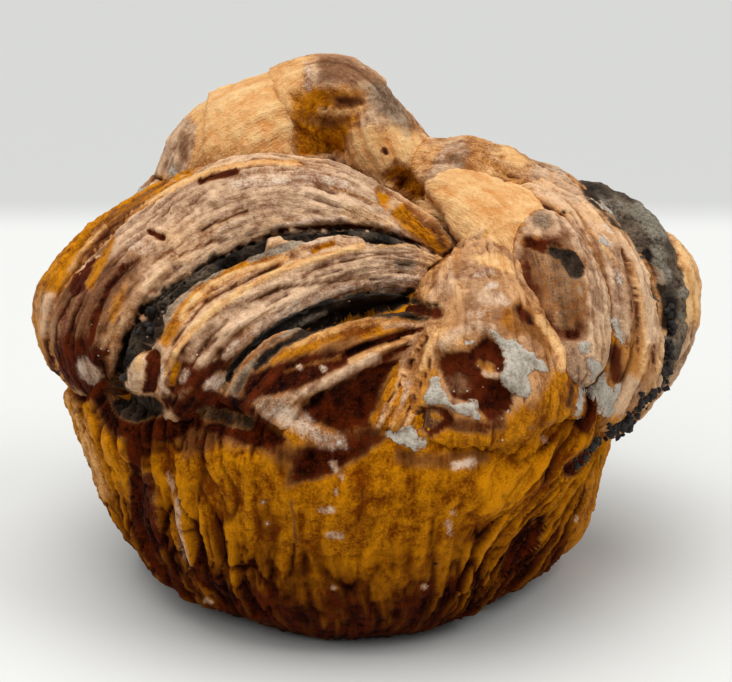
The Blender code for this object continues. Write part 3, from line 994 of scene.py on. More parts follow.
        area("amber", 0.8, 6, -0.2, (288, 92), (301, 90), (303, 106), (297, 124), (288, 118)),
        stroke("gold", 0.5, 1.3, 0.1, (322, 110), (340, 113), (360, 110)),
        area("ash", 0.75, 9, 0, (362, 84), (378, 76), (400, 96), (416, 128), (406, 136), (390, 122),
             (372, 110)),
        stroke("haze", 0.6, 1.6, 0, (308, 68), (309, 88)),
    ],
    "fillingRight": [
        area("char", 0.42, 4, 0, *bandOutline),
        stroke("ash", 1, 2.4, 0.3, (654, 222), (664, 232)),
        stroke("ash", 0.9, 1.4, 0.2, (640, 205), (655, 215)),
        stroke("ash", 1, 2.2, 0.6, (656, 262), (666, 276)),
        stroke("ash", 0.8, 0.9, 0.2, (646, 242), (653, 255)),
        stroke("char", 1, 2.0, -0.3, (642, 244), (646, 258)),
        stroke("char", 0.9, 2.2, 0, (598, 205), (606, 214)),
        stroke("char", 1, 2.0, -0.2, (668, 305), (668, 330)),
    ],
    "cup": [
        # painted shade on the cup under the folds' edge
        area("maroon", 0.65, 11, 0, (90, 396), (165, 405), (215, 418), (262, 438), (330, 452), (360, 444),
             (340, 470), (290, 474), (262, 452), (220, 446), (190, 456), (150, 430), (130, 442),
             (100, 426)),
        stroke("maroon", 0.5, 2.5, 0, (400, 458), (440, 462), (480, 456)),
        stroke("maroon", 1, 1.6, -0.9, (133, 452), (136, 485), (136, 508), (140, 533), (148, 554),
               (160, 570)),
        stroke("maroon", 0.8, 2.4, 0, (146, 480), (149, 510), (154, 542)),
        stroke("haze", 0.5, 0.8, 0.2, (169, 473), (176, 500), (180, 535), (188, 567)),
        stroke("maroon", 0.6, 0.5, -0.4, (291, 500), (295, 542), (291, 575)),
        stroke("maroon", 1, 2.0, -0.6, (608, 424), (594, 450), (570, 470)),
        area("maroon", 1, 4, -1.0, (545, 515), (530, 522), (512, 545), (500, 575), (525, 572), (540, 540)),
        stroke("gold", 0.4, 2.2, 0.2, (70, 395), (84, 440), (104, 495)),
        stroke("haze", 0.6, 1.0, 0, (320, 510), (332, 510)),
        stroke("haze", 0.6, 1.2, 0, (330, 535), (340, 536)),
        stroke("haze", 0.7, 1.4, 0, (455, 466), (472, 462)),
        stroke("haze", 0.6, 1.0, 0, (448, 522), (450, 534)),
        stroke("haze", 0.7, 0.7, 0, (335, 490), (336, 494)),
        stroke("haze", 0.7, 0.7, 0, (341, 476), (342, 478)),
        stroke("haze", 0.6, 0.8, 0, (333, 588), (335, 588)),
        stroke("haze", 0.6, 0.8, 0, (263, 502), (264, 502)),
        stroke("haze", 0.6, 0.8, 0, (267, 523), (268, 523)),
        stroke("haze", 0.7, 0.8, 0.1, (206, 600), (211, 602)),
        stroke("haze", 0.6, 0.8, 0, (452, 512), (453, 513)),
        stroke("haze", 0.6, 1.0, 0, (542, 438), (544, 440)),
        stroke("haze", 0.6, 0.8, 0, (577, 519), (578, 520)),
        stroke("haze", 0.6, 0.8, 0, (424, 586), (425, 587)),
        stroke("maroon", 1, 0.5, -0.2, (363, 495), (364, 496)),
        stroke("maroon", 1, 0.5, -0.2, (435, 563), (436, 564)),
    ],
    "everything": [
        area("ash", 0.55, 6, 0.2, (615, 198), (632, 202), (650, 216), (664, 240), (668, 258), (656, 262),
             (648, 240), (632, 222), (614, 210)),
        stroke("toast", 0.6, 1.8, 0.1, (612, 214), (630, 226), (644, 244)),
        stroke("ash", 0.9, 1.6, 0.3, (658, 262), (662, 280)),
        # painted shadow in the upper groove's gap and its left part, with its burnt filling
        area("maroon", 1, 2, -1.3, (276, 229), (300, 227), (330, 225), (350, 224), (370, 227), (390, 233),
             (410, 239), (430, 245), (441, 250), (441, 256), (425, 246), (405, 243), (388, 245), (372, 242),
             (358, 236), (340, 234), (320, 237), (305, 241), (285, 238)),
        stroke("char", 0.9, 0.9, -0.5, (300, 235), (340, 229), (370, 234), (400, 240)),
        area("char", 1, 2, -0.8, (215, 262), (232, 252), (250, 243), (268, 240), (262, 250), (245, 258),
             (225, 268), (212, 270)),
        stroke("ash", 1, 1.3, 0.2, (298, 242), (280, 249), (262, 254), (250, 258)),
        stroke("haze", 0.6, 0.8, 0.2, (189, 286), (193, 285)),
        # painted shadow at the upper groove's left end, with its burnt filling
        area("char", 1, 2, -1.2, (140, 306), (158, 304), (158, 322), (148, 342), (135, 352), (128, 372),
             (120, 396), (110, 392), (114, 372), (122, 350), (132, 328)),
        stroke("char", 0.9, 2.0, -0.3, (158, 328), (150, 340)),
        stroke("haze", 0.9, 1.2, 0.6, (144, 321), (149, 325)),
        area("maroon", 1, 2, -0.5, (147, 348), (160, 350), (161, 372), (156, 392), (142, 394), (145, 372)),
        area("toast", 1, 2, 0.9, (140, 348), (146, 350), (144, 366), (140, 382), (136, 392), (129, 389),
             (124, 380), (127, 366), (133, 355)),
        stroke("gold", 0.9, 0.9, 0.3, (140, 353), (138, 368)),
        # painted shade where the groove runs out under the folds, with burnt crust
        area("char", 1, 4, -0.4, (104, 376), (120, 384), (134, 394), (152, 396), (166, 404), (160, 416),
             (136, 424), (114, 416), (102, 396)),
        stroke("maroon", 0.8, 2.0, 0, (88, 386), (104, 402), (120, 430)),
        stroke("ash", 0.9, 1.5, 0.2, (218, 270), (200, 280), (186, 290), (174, 303), (166, 318)),
        stroke("haze", 0.8, 1.2, 0.2, (172, 294), (180, 293)),
        # painted shadow along the upper groove toward its left end, with its burnt filling
        stroke("char", 1, 1.5, -1.2, (262, 247), (242, 254), (220, 262), (196, 278), (176, 294),
               (158, 310)),
        stroke("char", 1, 3.4, -1.5, (152, 312), (147, 330), (134, 346)),
        stroke("char", 1, 2.0, -1.2, (132, 348), (122, 366), (117, 390), (126, 406)),
        area("maroon", 0.8, 11, 0, (46, 345), (80, 338), (108, 352), (118, 398), (84, 394), (56, 386)),
        stroke("haze", 0.6, 2.4, 0, (84, 366), (92, 376)),
        # painted shadow in the lower groove's left part, with its burnt filling
        stroke("char", 1, 0.7, -0.7, (224, 394), (232, 370), (246, 352), (262, 338), (285, 325), (305, 313),
               (318, 309)),
        stroke("ash", 0.85, 0.9, 0.2, (238, 388), (246, 370), (258, 356), (272, 343), (290, 332),
               (308, 321), (325, 313)),
        # painted shadow along the lower groove's gap, with its burnt filling
        area("char", 1, 5, -0.5, (250, 366), (262, 352), (280, 342), (300, 332), (320, 322), (340, 312),
             (360, 306), (385, 300), (410, 298), (438, 305), (438, 318), (420, 322), (395, 317), (365, 317),
             (345, 322), (325, 328), (305, 338), (285, 348), (268, 362), (255, 372)),
        stroke("maroon", 0.9, 2.0, -0.3, (415, 309), (436, 313)),
        stroke("ash", 0.7, 1.8, 0.1, (232, 392), (240, 380), (246, 372)),
        stroke("maroon", 1, 0.8, -0.8, (345, 357), (365, 347), (390, 338), (422, 329)),
        stroke("gold", 0.7, 1.0, 0.6, (350, 360), (370, 353), (388, 346), (410, 338)),
        stroke("maroon", 1, 0.6, -0.7, (372, 363), (392, 354), (410, 345)),
        area("maroon", 0.9, 7, -1.0, (295, 412), (315, 398), (340, 384), (365, 370), (385, 360), (396, 362),
             (386, 385), (378, 405), (365, 425), (340, 432), (310, 425)),
        stroke("toast", 1, 1.7, 0.9, (262, 410), (285, 399), (310, 389), (335, 378), (355, 367),
               (375, 357)),
        stroke("maroon", 0.5, 0.6, 0.4, (330, 400), (352, 388), (375, 372)),
        stroke("gold", 0.55, 0.9, 0.6, (430, 330), (420, 345), (408, 362), (398, 385), (388, 410),
               (378, 428)),
        stroke("gold", 0.6, 0.7, 0.5, (432, 340), (424, 362), (412, 385), (402, 405), (390, 428)),
        stroke("maroon", 0.85, 0.5, -0.6, (427, 338), (412, 362), (398, 390), (388, 402)),
        stroke("maroon", 0.85, 0.5, -0.6, (434, 348), (428, 372), (414, 398), (405, 418)),
        stroke("haze", 0.55, 0.7, 0.3, (409, 382), (402, 404)),
        stroke("haze", 0.45, 0.8, 0.3, (386, 405), (379, 426)),
        area("maroon", 0.8, 6, -0.2, (340, 432), (370, 424), (388, 438), (365, 455), (330, 476), (285, 488),
             (300, 455)),
        stroke("haze", 0.6, 1.0, 0.1, (333, 462), (337, 470)),
        area("haze", 0.72, 7, 0.2, (256, 404), (268, 397), (284, 398), (298, 407), (312, 422), (330, 432),
             (344, 438), (346, 447), (328, 448), (304, 438), (284, 426), (264, 416)),
        stroke("ash", 0.6, 2.0, 0.1, (262, 404), (280, 404), (296, 416)),
        # painted shade on the cup under the folds' edge, with a char line
        area("maroon", 1, 6, -0.3, (162, 400), (212, 390), (240, 398), (262, 418), (288, 440), (262, 446),
             (220, 432), (180, 420)),
        stroke("char", 0.7, 2.4, -0.2, (206, 414), (228, 418), (248, 422)),
        # the pit between the loop and the crown: its orange-brown crust, with painted shade deeper in
        area("amber", 1, 6, -1.2, (398, 162), (413, 178), (428, 194), (440, 214), (448, 235), (450, 252),
             (440, 254), (425, 245), (405, 228), (392, 215), (379, 202), (376, 190), (386, 174)),
        area("maroon", 0.8, 4, -0.8, (414, 200), (424, 198), (434, 212), (442, 228), (447, 250), (438, 242),
             (428, 228), (414, 214)),
        area("toast", 0.85, 4, 0.4, (386, 204), (394, 192), (406, 190), (408, 198), (398, 208), (390, 212)),
        stroke("maroon", 0.7, 1.0, -0.2, (388, 183), (398, 177)),
    ],
}
marks["loopLeft"] += marks["loopTop"]        # both make up the loop
for name in ("rightInner", "rightOuter", "crownBack", "backUpper"):       # burnt along the band as well
    marks.setdefault(name, []).append(area("char", 1, 4, -0.2, *bandOutline))


def lineReach(pixels, line):
    # distance in pixels from each pixel to a line through points
    best = np.full(len(pixels), 1e9)
    if len(line) == 1:
        line = line * 2
    for start, end in zip(line, line[1:]):
        start, end = np.array(start, float), np.array(end, float)
        run = end - start
        share = np.clip(((pixels - start) @ run) / max(run @ run, 1e-9), 0, 1)
        best = np.minimum(best, np.linalg.norm(pixels - start - share[:, None] * run, axis=1))
    return best


def outlineReach(pixels, outline):
    # distance in pixels to an outline, positive inside it
    inside = np.zeros(len(pixels), bool)
    for start, end in zip(outline, outline[1:] + outline[:1]):
        crosses = (start[1] > pixels[:, 1]) != (end[1] > pixels[:, 1])
        slope = (end[0] - start[0]) / ((end[1] - start[1]) or 1e-9)
        inside ^= crosses & (pixels[:, 0] < start[0] + slope * (pixels[:, 1] - start[1]))
    return np.where(inside, 1, -1) * lineReach(pixels, outline + outline[:1])


def paintMarks(name, shape):
    # lays the marks on the side that the photograph shows, and returns their relief
    places, masks = shape["places"], shape["masks"]
    pixels, depth = toPixels(places)
    facing = np.sum(shape["smooth"] * unit(photoEye["eye"] - places), axis=1)
    cell = (pixels / markLook["cell"]).astype(int)
    cell = np.clip(cell, 0, (nearestDepth.shape[1] - 1, nearestDepth.shape[0] - 1))
    seen = facing > -markLook["turned"]
    seen &= depth < nearestDepth[cell[:, 1], cell[:, 0]] + markLook["slack"]
    showing = step(facing, -markLook["turned"], 0)
    waver = noise(places, 0.9, 41) * 0.5 + noise(places, 2.6, 42) * 0.5
    wander = markLook["wander"]
    relief = np.zeros(len(places))
    for mark in marks.get(name, []) + marks["everything"]:
        line = mark.get("line") or mark["outline"]
        half = mark["half"]
        low, high = np.min(line, axis=0) - half * 2, np.max(line, axis=0) + half * 2
        near = seen & np.all((pixels > low) & (pixels < high), axis=1)
        if not near.any():
            continue
        if "line" in mark:
            cover = step(1.6 - lineReach(pixels[near], line) / half - waver[near] * wander[0], 0, 1.2)
        else:
            cover = step(outlineReach(pixels[near], line) / half + waver[near] * wander[1], -1, 1)
        cover = cover * showing[near]
        strength = mark["strength"]
        for kind in kinds:
            masks[kind][near] *= 1 - cover * min(1, strength * 0.9)
        masks[mark["kind"]][near] += cover * strength
        relief[near] += cover * mark["deep"]
    for kind in kinds:
        np.clip(masks[kind], 0, 1, out=masks[kind])
    return relief


def neighbourhood(name, shape, masks):
    # how much dough fills the cracks, and the burn and painted shade that darken them
    places = shape["places"]
    fill = np.zeros(len(places))
    nearest = np.full(len(places), farGap)
    ragged = noise(places, 1.4, 31) * 0.5
    for other, gaps in neighbourGaps(name, places):
        melt = pairOf(melts, name, other, narrowCrack)
        fill = np.maximum(fill, np.clip(melt - np.abs(gaps), 0, None) ** 2 / (4 * melt))
        # the crack darkens: burnt crust and painted shade in the crevice
        kind, strength, reach = pairOf(cracks, name, other, plainCrack)
        cover = step(reach * 0.9 - gaps + ragged * 1.3, 0, reach * 1.2) * strength
        masks[kind] = np.maximum(masks[kind], cover)
        if melt < 4:
            burntAndShaded = step(0.6 - gaps + ragged, 0, 1.2) * 0.85
            masks["maroon"] = np.maximum(masks["maroon"], burntAndShaded)
        nearest = np.minimum(nearest, gaps)
    for look in fillings.values():
        if name in look["between"]:
            gaps = gapTo(fillingPath(look), places)
            fill -= step(0.7 - gaps, 0, 1.2) * look["trough"]
            masks["char"] = np.maximum(masks["char"], step(0.5 - gaps + ragged, 0, 0.8))
    return fill, nearest


# the edges of the dough's layers: sizes in mm along, across and through the fold, the rest as
# shares of a layer's width
layerLook = {
    "drift": ((26, 9, 9), 0.8),        # how they wander, and how far
    "waver": ((9, 3.5, 9), 0.3),
    "fading": ((13, 1, 1), 1.1),       # how they come and go
    "steep": 0.2,                      # the rise up to an edge
    "line": (0.1, 0.07),               # the painted shadow line above and below it
}


def ridgesOn(grain, pitch, seed):
    # steps that run along the fold, come and go, and drift; with a painted shadow line at each edge
    # and a painted highlight on each crest
    (slow, far), (quick, near) = layerLook["drift"], layerLook["waver"]
    drift = noise(grain, slow, seed) * far + noise(grain, quick, seed + 1) * near
    level = grain[:, 1] / pitch + drift
    ridge = np.floor(level)
    part = level - ridge
    lane = np.column_stack([grain[:, 0], ridge * 5.7, np.full(len(ridge), seed * 3.1)])
    size, swing = layerLook["fading"]
    strength = np.clip(0.6 + noise(lane, size, seed + 2) * swing, 0, 1.4)
    rise = step(part, 0, layerLook["steep"])
    fall = (1 - part) ** 0.8
    above, below = layerLook["line"]
    line = np.exp(-(part / above) ** 2) + np.exp(-((1 - part) / below) ** 2)
    crestHighlight = step(part, 0.1, 0.22) * step(0.5 - part, 0, 0.25)
    return rise * fall * strength, line * np.clip(strength, 0, 1), crestHighlight * np.clip(strength, 0, 1)


def setAttribute(mesh, name, *columns):
    layer = mesh.attributes.new(name, "FLOAT_VECTOR", "POINT")
    layer.data.foreach_set("vector", np.column_stack(columns).astype(np.float32).ravel())


def finishPiece(name, mesh, material, node):
    mesh.shade_smooth()
    mesh.materials.append(material)
    piece = addObject(name, mesh)
    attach(piece, "root")
    if node:
        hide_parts(node)
    return piece


def settle(shape, relief):
    # moves the points out by their relief
    writePlaces(shape["mesh"], shape["places"] + shape["smooth"] * relief[:, None])
    shape["places"] = readPlaces(shape["mesh"]) / mm


def swelling(places):
    rise = np.zeros(len(places))
    for middle, reach, deep in swells:
        rise += deep * np.exp(-((places - middle) ** 2).sum(axis=1) / reach**2)
    return rise


# what varies over a fold: its size in mm, all round or else along it, across it and through it;
# then its relief in mm, which for the layers' edges is a share of the fold's own
foldGrain = {
    "layer": (1, 2),             # of the fold's pitch
    "thinLayer": (0.37, 1.1),
    "streak": ((14, 1.1, 9), 0.22),
    "gash": ((5, 0.7, 9), 0.45),
    "thread": ((4, 0.8, 9), 0.16),
    "rough": (1.7, 0.18),
    "grit": (0.75, 0.16),
    "bulge": (13, 0.8),
    "lump": (5, 0.35),
    "dust": ((6, 2, 9), 0),      # colour only
    "burn": ((6, 1.5, 9), 0),
}


def raiseFold(name, look, shape, seed):
    # gives a fold its layers' edges, lumps and gashes, and says where it is browned
    places = shape["places"]
    around = (math.pi / 2 - shape["turn"] + math.pi) % (2 * math.pi) - math.pi      # 0 along its outer side
    girth = np.array(look["path"])[:, 3:].mean()
    along = shape["share"] * shape["length"]
    grain = np.column_stack([along, around * girth, np.full(len(places), seed * 2.0)])
    depth, calm = look["ridge"], 1 - look.get("calm", 0)

    masks = {kind: np.zeros(len(places)) for kind in kinds}
    fill, nearest = neighbourhood(name, shape, masks)
    size = {key: first for key, (first, _) in foldGrain.items()}
    rise = {key: second for key, (_, second) in foldGrain.items()}
    ridge, line, crestHighlight = ridgesOn(grain, look["pitch"] * size["layer"], seed)
    minor, _, _ = ridgesOn(grain, look["pitch"] * size["thinLayer"], seed + 50)
    fade = step(nearest, -0.5, 1.2)                          # none of it inside a neighbour
    broad = noise(places, 9, seed)
    streak = noise(grain, size["streak"], seed + 5)
    gash = step(noise(grain, size["gash"], seed + 20) - 0.5, 0, 0.12) * fade * calm
    low = step(38 - places[:, 2] + broad * 5, 0, 16)         # browner and darker lower down, near the tin: painted shade
    behind = step(places[:, 1], 20, 30)                      # the side that the photograph doesn't show
    # painted shadow along the line at each layer's edge
    ledgeShadow = line * min(1, depth * 2.2)

    masks["toast"] = np.clip(look["toast"] + broad * 0.4 + streak * 0.3 - masks["amber"], 0, 1)
    # gold: the fold's own share, with a painted highlight on the layers' crests and less of it lower down as
    # painted shade
    masks["gold"] = np.clip(look["gold"] + crestHighlight * depth - broad * 0.3 - low * 0.4, 0, 1)
    masks["gold"] *= 1 - np.maximum(masks["char"], masks["maroon"])
    # amber and maroon: more along the painted shadow lines and lower down as painted shade; the streaks,
    # gashes and back are the crust's own tone
    amber = look["amber"] + ledgeShadow * 0.5 + streak * (0.25 + behind * 0.1) + low * 0.45
    amber += behind * (0.25 + broad * 0.9)
    masks["amber"] = np.clip(np.maximum(masks["amber"], amber), 0, 1)
    browned = step(noise(places, 10, seed + 60) + streak * 0.5, 0, 0.6) * 0.5 * behind
    brownAndShade = ledgeShadow * 0.5 - 0.1 + low * (0.2 + behind * 0.3) + gash * 0.55 + browned
    masks["maroon"] = np.clip(np.maximum(masks["maroon"], brownAndShade), 0, 1)
    dusty = step(noise(grain, size["dust"], seed + 30) - 0.3, 0, 0.3)
    dusty *= step(noise(places, 12, 33), -0.1, 0.3)
    # haze: dust on the back, and a painted highlight on the layers' crests
    masks["haze"] = np.clip(dusty * behind * 0.7 + crestHighlight * 0.25, 0, 1)

    texture = (ridge * depth * rise["layer"] + minor * depth * rise["thinLayer"]) * fade
    texture = texture + streak * rise["streak"] * fade - gash * rise["gash"]
    texture += noise(grain, size["thread"], seed + 6) * rise["thread"] * fade
    rough = noise(places, size["rough"], seed + 11) * rise["rough"]
    texture += rough + noise(places, size["grit"], seed + 12) * rise["grit"]
    lumps = noise(places, size["bulge"], seed + 9) * (rise["bulge"] + behind * 0.9)
    lumps = (lumps + noise(places, size["lump"], seed + 10) * (rise["lump"] + behind * 0.3)) * calm
    if "sunk" in look:
        stop, start, full, deep = look["sunk"]
        sunk = step(around, start, full) * step(stop - shape["share"], -0.08, 0.1)
        lumps -= sunk * deep
        # the groove darkens to char: burnt crust and painted shade in it
        burntAndShaded = step(sunk + noise(grain, size["burn"], seed + 40) * 0.2, 0.1, 0.5)
        masks["char"] = np.maximum(masks["char"], burntAndShaded)
    shape["masks"] = masks
    shape["grain"] = grain * (0.2, 1, 1)
    # painted shade: darker in the relief's hollows and along the layers' shadow lines, lighter on the raised
    # parts
    shape["hollow"] = 0.5 + (texture - depth * 0.5 - ledgeShadow * 0.5) * 1.1
    settle(shape, lumps + texture + fill + swelling(places))


def cupShape():
    # the outline is spun round
    size = cupLook["faceSize"]
    outline = smoothCurve(cupLook["outline"], np.linspace(0, 1, 400))
    walked = np.concatenate([[0], np.cumsum(np.linalg.norm(np.diff(outline, axis=0), axis=1))])
    shown = np.interp(cupLook["shown"], outline[:, 1], walked)
    stops = np.concatenate([np.arange(0, shown, size), np.arange(shown, walked[-1], size * 6), [walked[-1]]])
    foot = np.linspace(0, outline[0, 0], 12)[:-1]
    side = [np.interp(stops, walked, outline[:, k]) for k in (0, 1)]
    profile = [(radius, 0) for radius in foot] + list(zip(*side))
    bm = bmesh.new()
    verts = [bm.verts.new((radius * mm, 0, height * mm)) for radius, height in profile]
    edges = [bm.edges.new(pair) for pair in zip(verts, verts[1:])]
    turns = round(2 * math.pi * cupLook["radius"] / size)
    bmesh.ops.spin(bm, geom=verts + edges, axis=(0, 0, 1), cent=(0, 0, 0), angle=math.tau, steps=turns,
                   use_merge=True)
    bmesh.ops.remove_doubles(bm, verts=bm.verts, dist=0.000002)
    bmesh.ops.recalc_face_normals(bm, faces=bm.faces)
    mesh = meshFrom("cup", bm)
    mesh.update()
    return {"mesh": mesh, "places": readPlaces(mesh) / mm, "smooth": readPlaces(mesh, "normal")}


def raiseCup(shape):
    # its side gets the fibres of the pulled dough
    places = shape["places"]
    angle = np.arctan2(places[:, 0], -places[:, 1])       # 0 at the front, growing to the right
    height = places[:, 2]
    masks = {kind: np.zeros(len(places)) for kind in kinds}
    fill, nearest = neighbourhood("cup", shape, masks)
    lean = step(angle, 0.25, 0.9) * step(2.2 - angle, 0, 0.9) * (height - 20)     # at the right
    arc = angle + (noise(places, 16, 60) * 2 - lean) / 40
    grain = np.column_stack([np.sin(arc) * 40, np.cos(arc) * 40, height * 0.12])
    fibre = noise(grain, cupLook["fibre"], 61) + noise(grain, cupLook["fibre"] * 0.45, 62) * 0.6
    bent = np.column_stack([grain[:, 0], grain[:, 1], height * 0.3])
    wavy = noise(bent, 2.4, 63)
    wide, narrow = (noise(bent, gap, 70 + k) / 0.08 for k, gap in enumerate(cupLook["creases"]))
    crease = np.exp(-wide ** 2) + np.exp(-narrow ** 2) * 0.6
    onSide = step(height, 1.5, 5)
    start, full, stop, soft = cupLook["panel"]
    smoothPanel = step(angle, start, full) * step(stop - angle, 0, soft)
    calm = (1 - smoothPanel * 0.7) * onSide
    texture = (fibre * 0.6 + wavy * 0.35 - crease * 0.45) * cupLook["fibreDepth"] * calm
    rough = noise(bent, 1.2, 73) * 0.28 * onSide + noise(places, 2.2, 66) * 0.26
    texture += rough + noise(places, 0.9, 67) * 0.22
    lumps = noise(places, 14, 64) * 0.7 + noise(places, 5, 65) * 0.4 * onSide
    tint = noise(places, 10, 68)
    # darker lower down and in the creases, gold on the fibres: painted shade and painted highlight; the foot
    # is burnt black and also in painted contact shade
    low = step(30 - height + noise(places, 5, 69) * 6, 0, 26)
    burntAndShaded = step(4.5 - height + noise(places, 4, 72) * 2.5, 0, 4.5)
    dark = low * 0.8 + crease * calm * 0.5 - fibre * 0.2
    masks["amber"] = np.clip(1 + tint * 0.15, 0, 1)
    masks["gold"] = np.clip(fibre * 0.2 - 0.15 + tint * 0.15, 0, 0.3)
    masks["maroon"] = np.clip(np.maximum(masks["maroon"], dark), 0, 1)
    masks["char"] = np.clip(np.maximum(masks["char"], burntAndShaded), 0, 1)
    shape["masks"] = masks
    shape["grain"] = grain
    # painted shade: darker in the relief's hollows, lighter on its fibres
    shape["hollow"] = 0.5 + texture * 0.8
    settle(shape, (lumps + texture + swelling(places)) * step(height, 0.2, 2.5) + fill)


def raiseFilling(look, shape, seed):
    places = shape["places"]
    masks = {kind: np.zeros(len(places)) for kind in kinds}
    masks["ash"] = np.clip(look["ash"] + noise(places, 3, seed + 3) * 0.6, 0, 1)
    masks["char"] = np.clip(look["char"] + noise(places, 4, seed + 4) * 0.6, 0, 1)
    relief = noise(places, 4, seed) * 0.7 + noise(places, 1.8, seed + 1) * 0.6
    relief += noise(places, 0.8, seed + 2) * 0.35
    shape["masks"] = masks
    settle(shape, relief * look["rough"] + look["swell"])


def finishShape(name, shape, material, node):
    # the marks, what the paint reads, and the finished piece
    plain = {kind: mask.copy() for kind, mask in shape["masks"].items()}
    settle(shape, paintMarks(name, shape))
    shape["masks"] = plain
    paintMarks(name, shape)           # again, now that the relief has moved its points
    mesh, masks = shape["mesh"], shape["masks"]
    setAttribute(mesh, "scorchAndPaintedShade", masks["maroon"], masks["char"], masks["ash"])
    if "grain" in shape:
        hollow = np.clip(shape["hollow"], 0, 1)
        setAttribute(mesh, "grain", *shape["grain"].T)
        setAttribute(mesh, "browningAndPaintedLight", masks["toast"], masks["gold"], masks["amber"])
        setAttribute(mesh, "hazeAndShading", masks["haze"], hollow, hollow * 0)
    return finishPiece(name, mesh, material, node)


def surfaceTree(pieces):
    # one search tree over the finished pieces, for rays that look for their surface
    bm = bmesh.new()
    for piece in pieces:
        bm.from_mesh(piece.data)
    tree = BVHTree.FromBMesh(bm)
    bm.free()
    return tree


def hitFrom(view, pixel):
    # where a pixel's ray meets the knot, in metres, with the surface's normal there
    place, normal, _, _ = crustTree.ray_cast(Vector(view["eye"]) * mm, pixelRay(pixel, view), 0.6)
    return place, normal


# icing that ran over the knot and dried in thin patches, lengths in mm: each patch's share of the
# full thickness, and its outline in the pixels of the view that it is seen from
icingLook = {
    "cell": 1.9,       # pixels between its points
    "thick": 0.84,
    "varies": 0.12,                           # how much the thickness wanders
    "edgeSunk": 0.15,                         # how far its edge lies in the crust
    "sheet": 0.4,                             # how thick the sheet itself is
    "torn": 7,                                # an edge longer than so many cells is torn open
    "soft": 5,                                # pixels over which its edge thins out
    "ragged": 2.6,                            # pixels by which its edge wanders
    "wider": 1.5,                             # pixels added all round
    "front": (
        (0.6, ((490, 328), (500, 335), (515, 340), (530, 352), (545, 362), (549, 370), (540, 371), (531, 370),
               (528, 375), (529, 383), (534, 390), (528, 396), (520, 398), (512, 394), (503, 386), (501, 378),
               (503, 370), (506, 362), (503, 350), (497, 342))),
        (0.3, ((464, 343), (468, 338), (474, 338), (477, 342), (472, 346), (466, 347))),
        (0.6, ((435, 375), (440, 378), (441, 388), (447, 398), (452, 403), (466, 404), (476, 399), (480, 403),
               (477, 412), (484, 419), (478, 420), (470, 415), (460, 415), (452, 410), (447, 406), (438, 404),
               (425, 405), (424, 398), (428, 388), (430, 378))),
        (0.3, ((498, 420), (503, 416), (510, 409), (507, 417), (500, 422))),
        (0.55, ((386, 432), (400, 432), (410, 425), (414, 430), (420, 437), (430, 442), (424, 449),
                (415, 450), (404, 446), (396, 441), (388, 438))),
        (0.35, ((577, 346), (583, 339), (592, 342), (594, 350), (588, 356), (580, 354))),
        (0.45, ((588, 355), (598, 359), (605, 370), (608, 384), (615, 392), (617, 402), (611, 417),
                (601, 419), (596, 406), (588, 397), (591, 384), (586, 368))),
        (0.35, ((580, 386), (586, 390), (585, 404), (579, 420), (573, 417), (576, 402))),
        (0.4, ((620, 380), (622, 386), (617, 400), (610, 412), (606, 410), (609, 396), (614, 386))),
        (0.45, ((610, 318), (615, 315), (619, 320), (622, 330), (625, 340), (621, 345), (617, 340),
                (614, 330))),
        (0.3, ((614, 269), (619, 268), (623, 278), (622, 287), (617, 284))),
        (0.3, ((596, 235), (602, 234), (609, 244), (606, 248), (599, 243))),
        (0.16, ((300, 427), (312, 429), (328, 434), (342, 439), (344, 446), (330, 447), (314, 443),
                (302, 436))),
    ),
    # on the other sides: the view's angles, then each patch's share, middle and half sizes
    "others": (
        ((180, 25), ((0.45, 330, 225, 20, 12), (0.35, 372, 236, 12, 7), (0.5, 455, 262, 15, 22),
                     (0.4, 470, 300, 8, 16), (0.35, 268, 290, 14, 7), (0.3, 390, 318, 16, 6))),
        ((90, 22), ((0.4, 372, 300, 9, 20), (0.3, 420, 250, 14, 7), (0.35, 310, 352, 8, 14))),
        ((270, 22), ((0.4, 262, 300, 16, 9), (0.35, 285, 256, 7, 12), (0.3, 300, 352, 7, 12))),
    ),
}


def splash(across, down, wide, tall):
    # a ragged patch's outline round its middle
    turns = np.linspace(0, math.tau, 15)[:-1]
    reach = 1 + 0.3 * np.sin(turns * 3 + across) + 0.2 * np.sin(turns * 5 + down)
    right, below = across + wide * reach * np.cos(turns), down + tall * reach * np.sin(turns)
    return tuple(zip(right, below))


def drape(bm, view, amount, outline):
    # a sheet laid over the knot inside the outline; its edge dives into the crust
    cell = icingLook["cell"]
    low, high = np.min(outline, axis=0) - cell * 4, np.max(outline, axis=0) + cell * 4
    across, down = np.ceil((high - low) / cell).astype(int)
    verts = bmesh.ops.create_grid(bm, x_segments=across, y_segments=down, size=0.5)["verts"]
    pixels = low + (np.array([vert.co[:2] for vert in verts]) + 0.5) * (high - low)
    flat = np.column_stack([pixels, pixels[:, 0] * 0])
    ragged = noise(flat, 8, 3) + noise(flat, 3.5, 5) * 0.7
    reach = outlineReach(pixels, outline) + ragged * icingLook["ragged"] + icingLook["wider"]
    thick = amount * icingLook["thick"] + noise(flat, 12, 7) * icingLook["varies"]
    rise = (step(reach, -1, icingLook["soft"]) ** 0.6 * thick - icingLook["edgeSunk"]) * mm
    body = step(reach, -1.5, icingLook["soft"] + 1) * min(1, 0.2 + 1.6 * amount)
    cover = bm.verts.layers.float_vector["cover"]
    doomed = []
    for k, vert in enumerate(verts):
        place, normal = hitFrom(view, pixels[k])
        if place is None or reach[k] < -cell * 1.4:
            doomed.append(vert)
        else:
            vert.co = place + (normal + Vector(view["back"])).normalized() * rise[k]
            vert[cover] = (body[k], body[k], body[k])
    bmesh.ops.delete(bm, geom=doomed, context="VERTS")


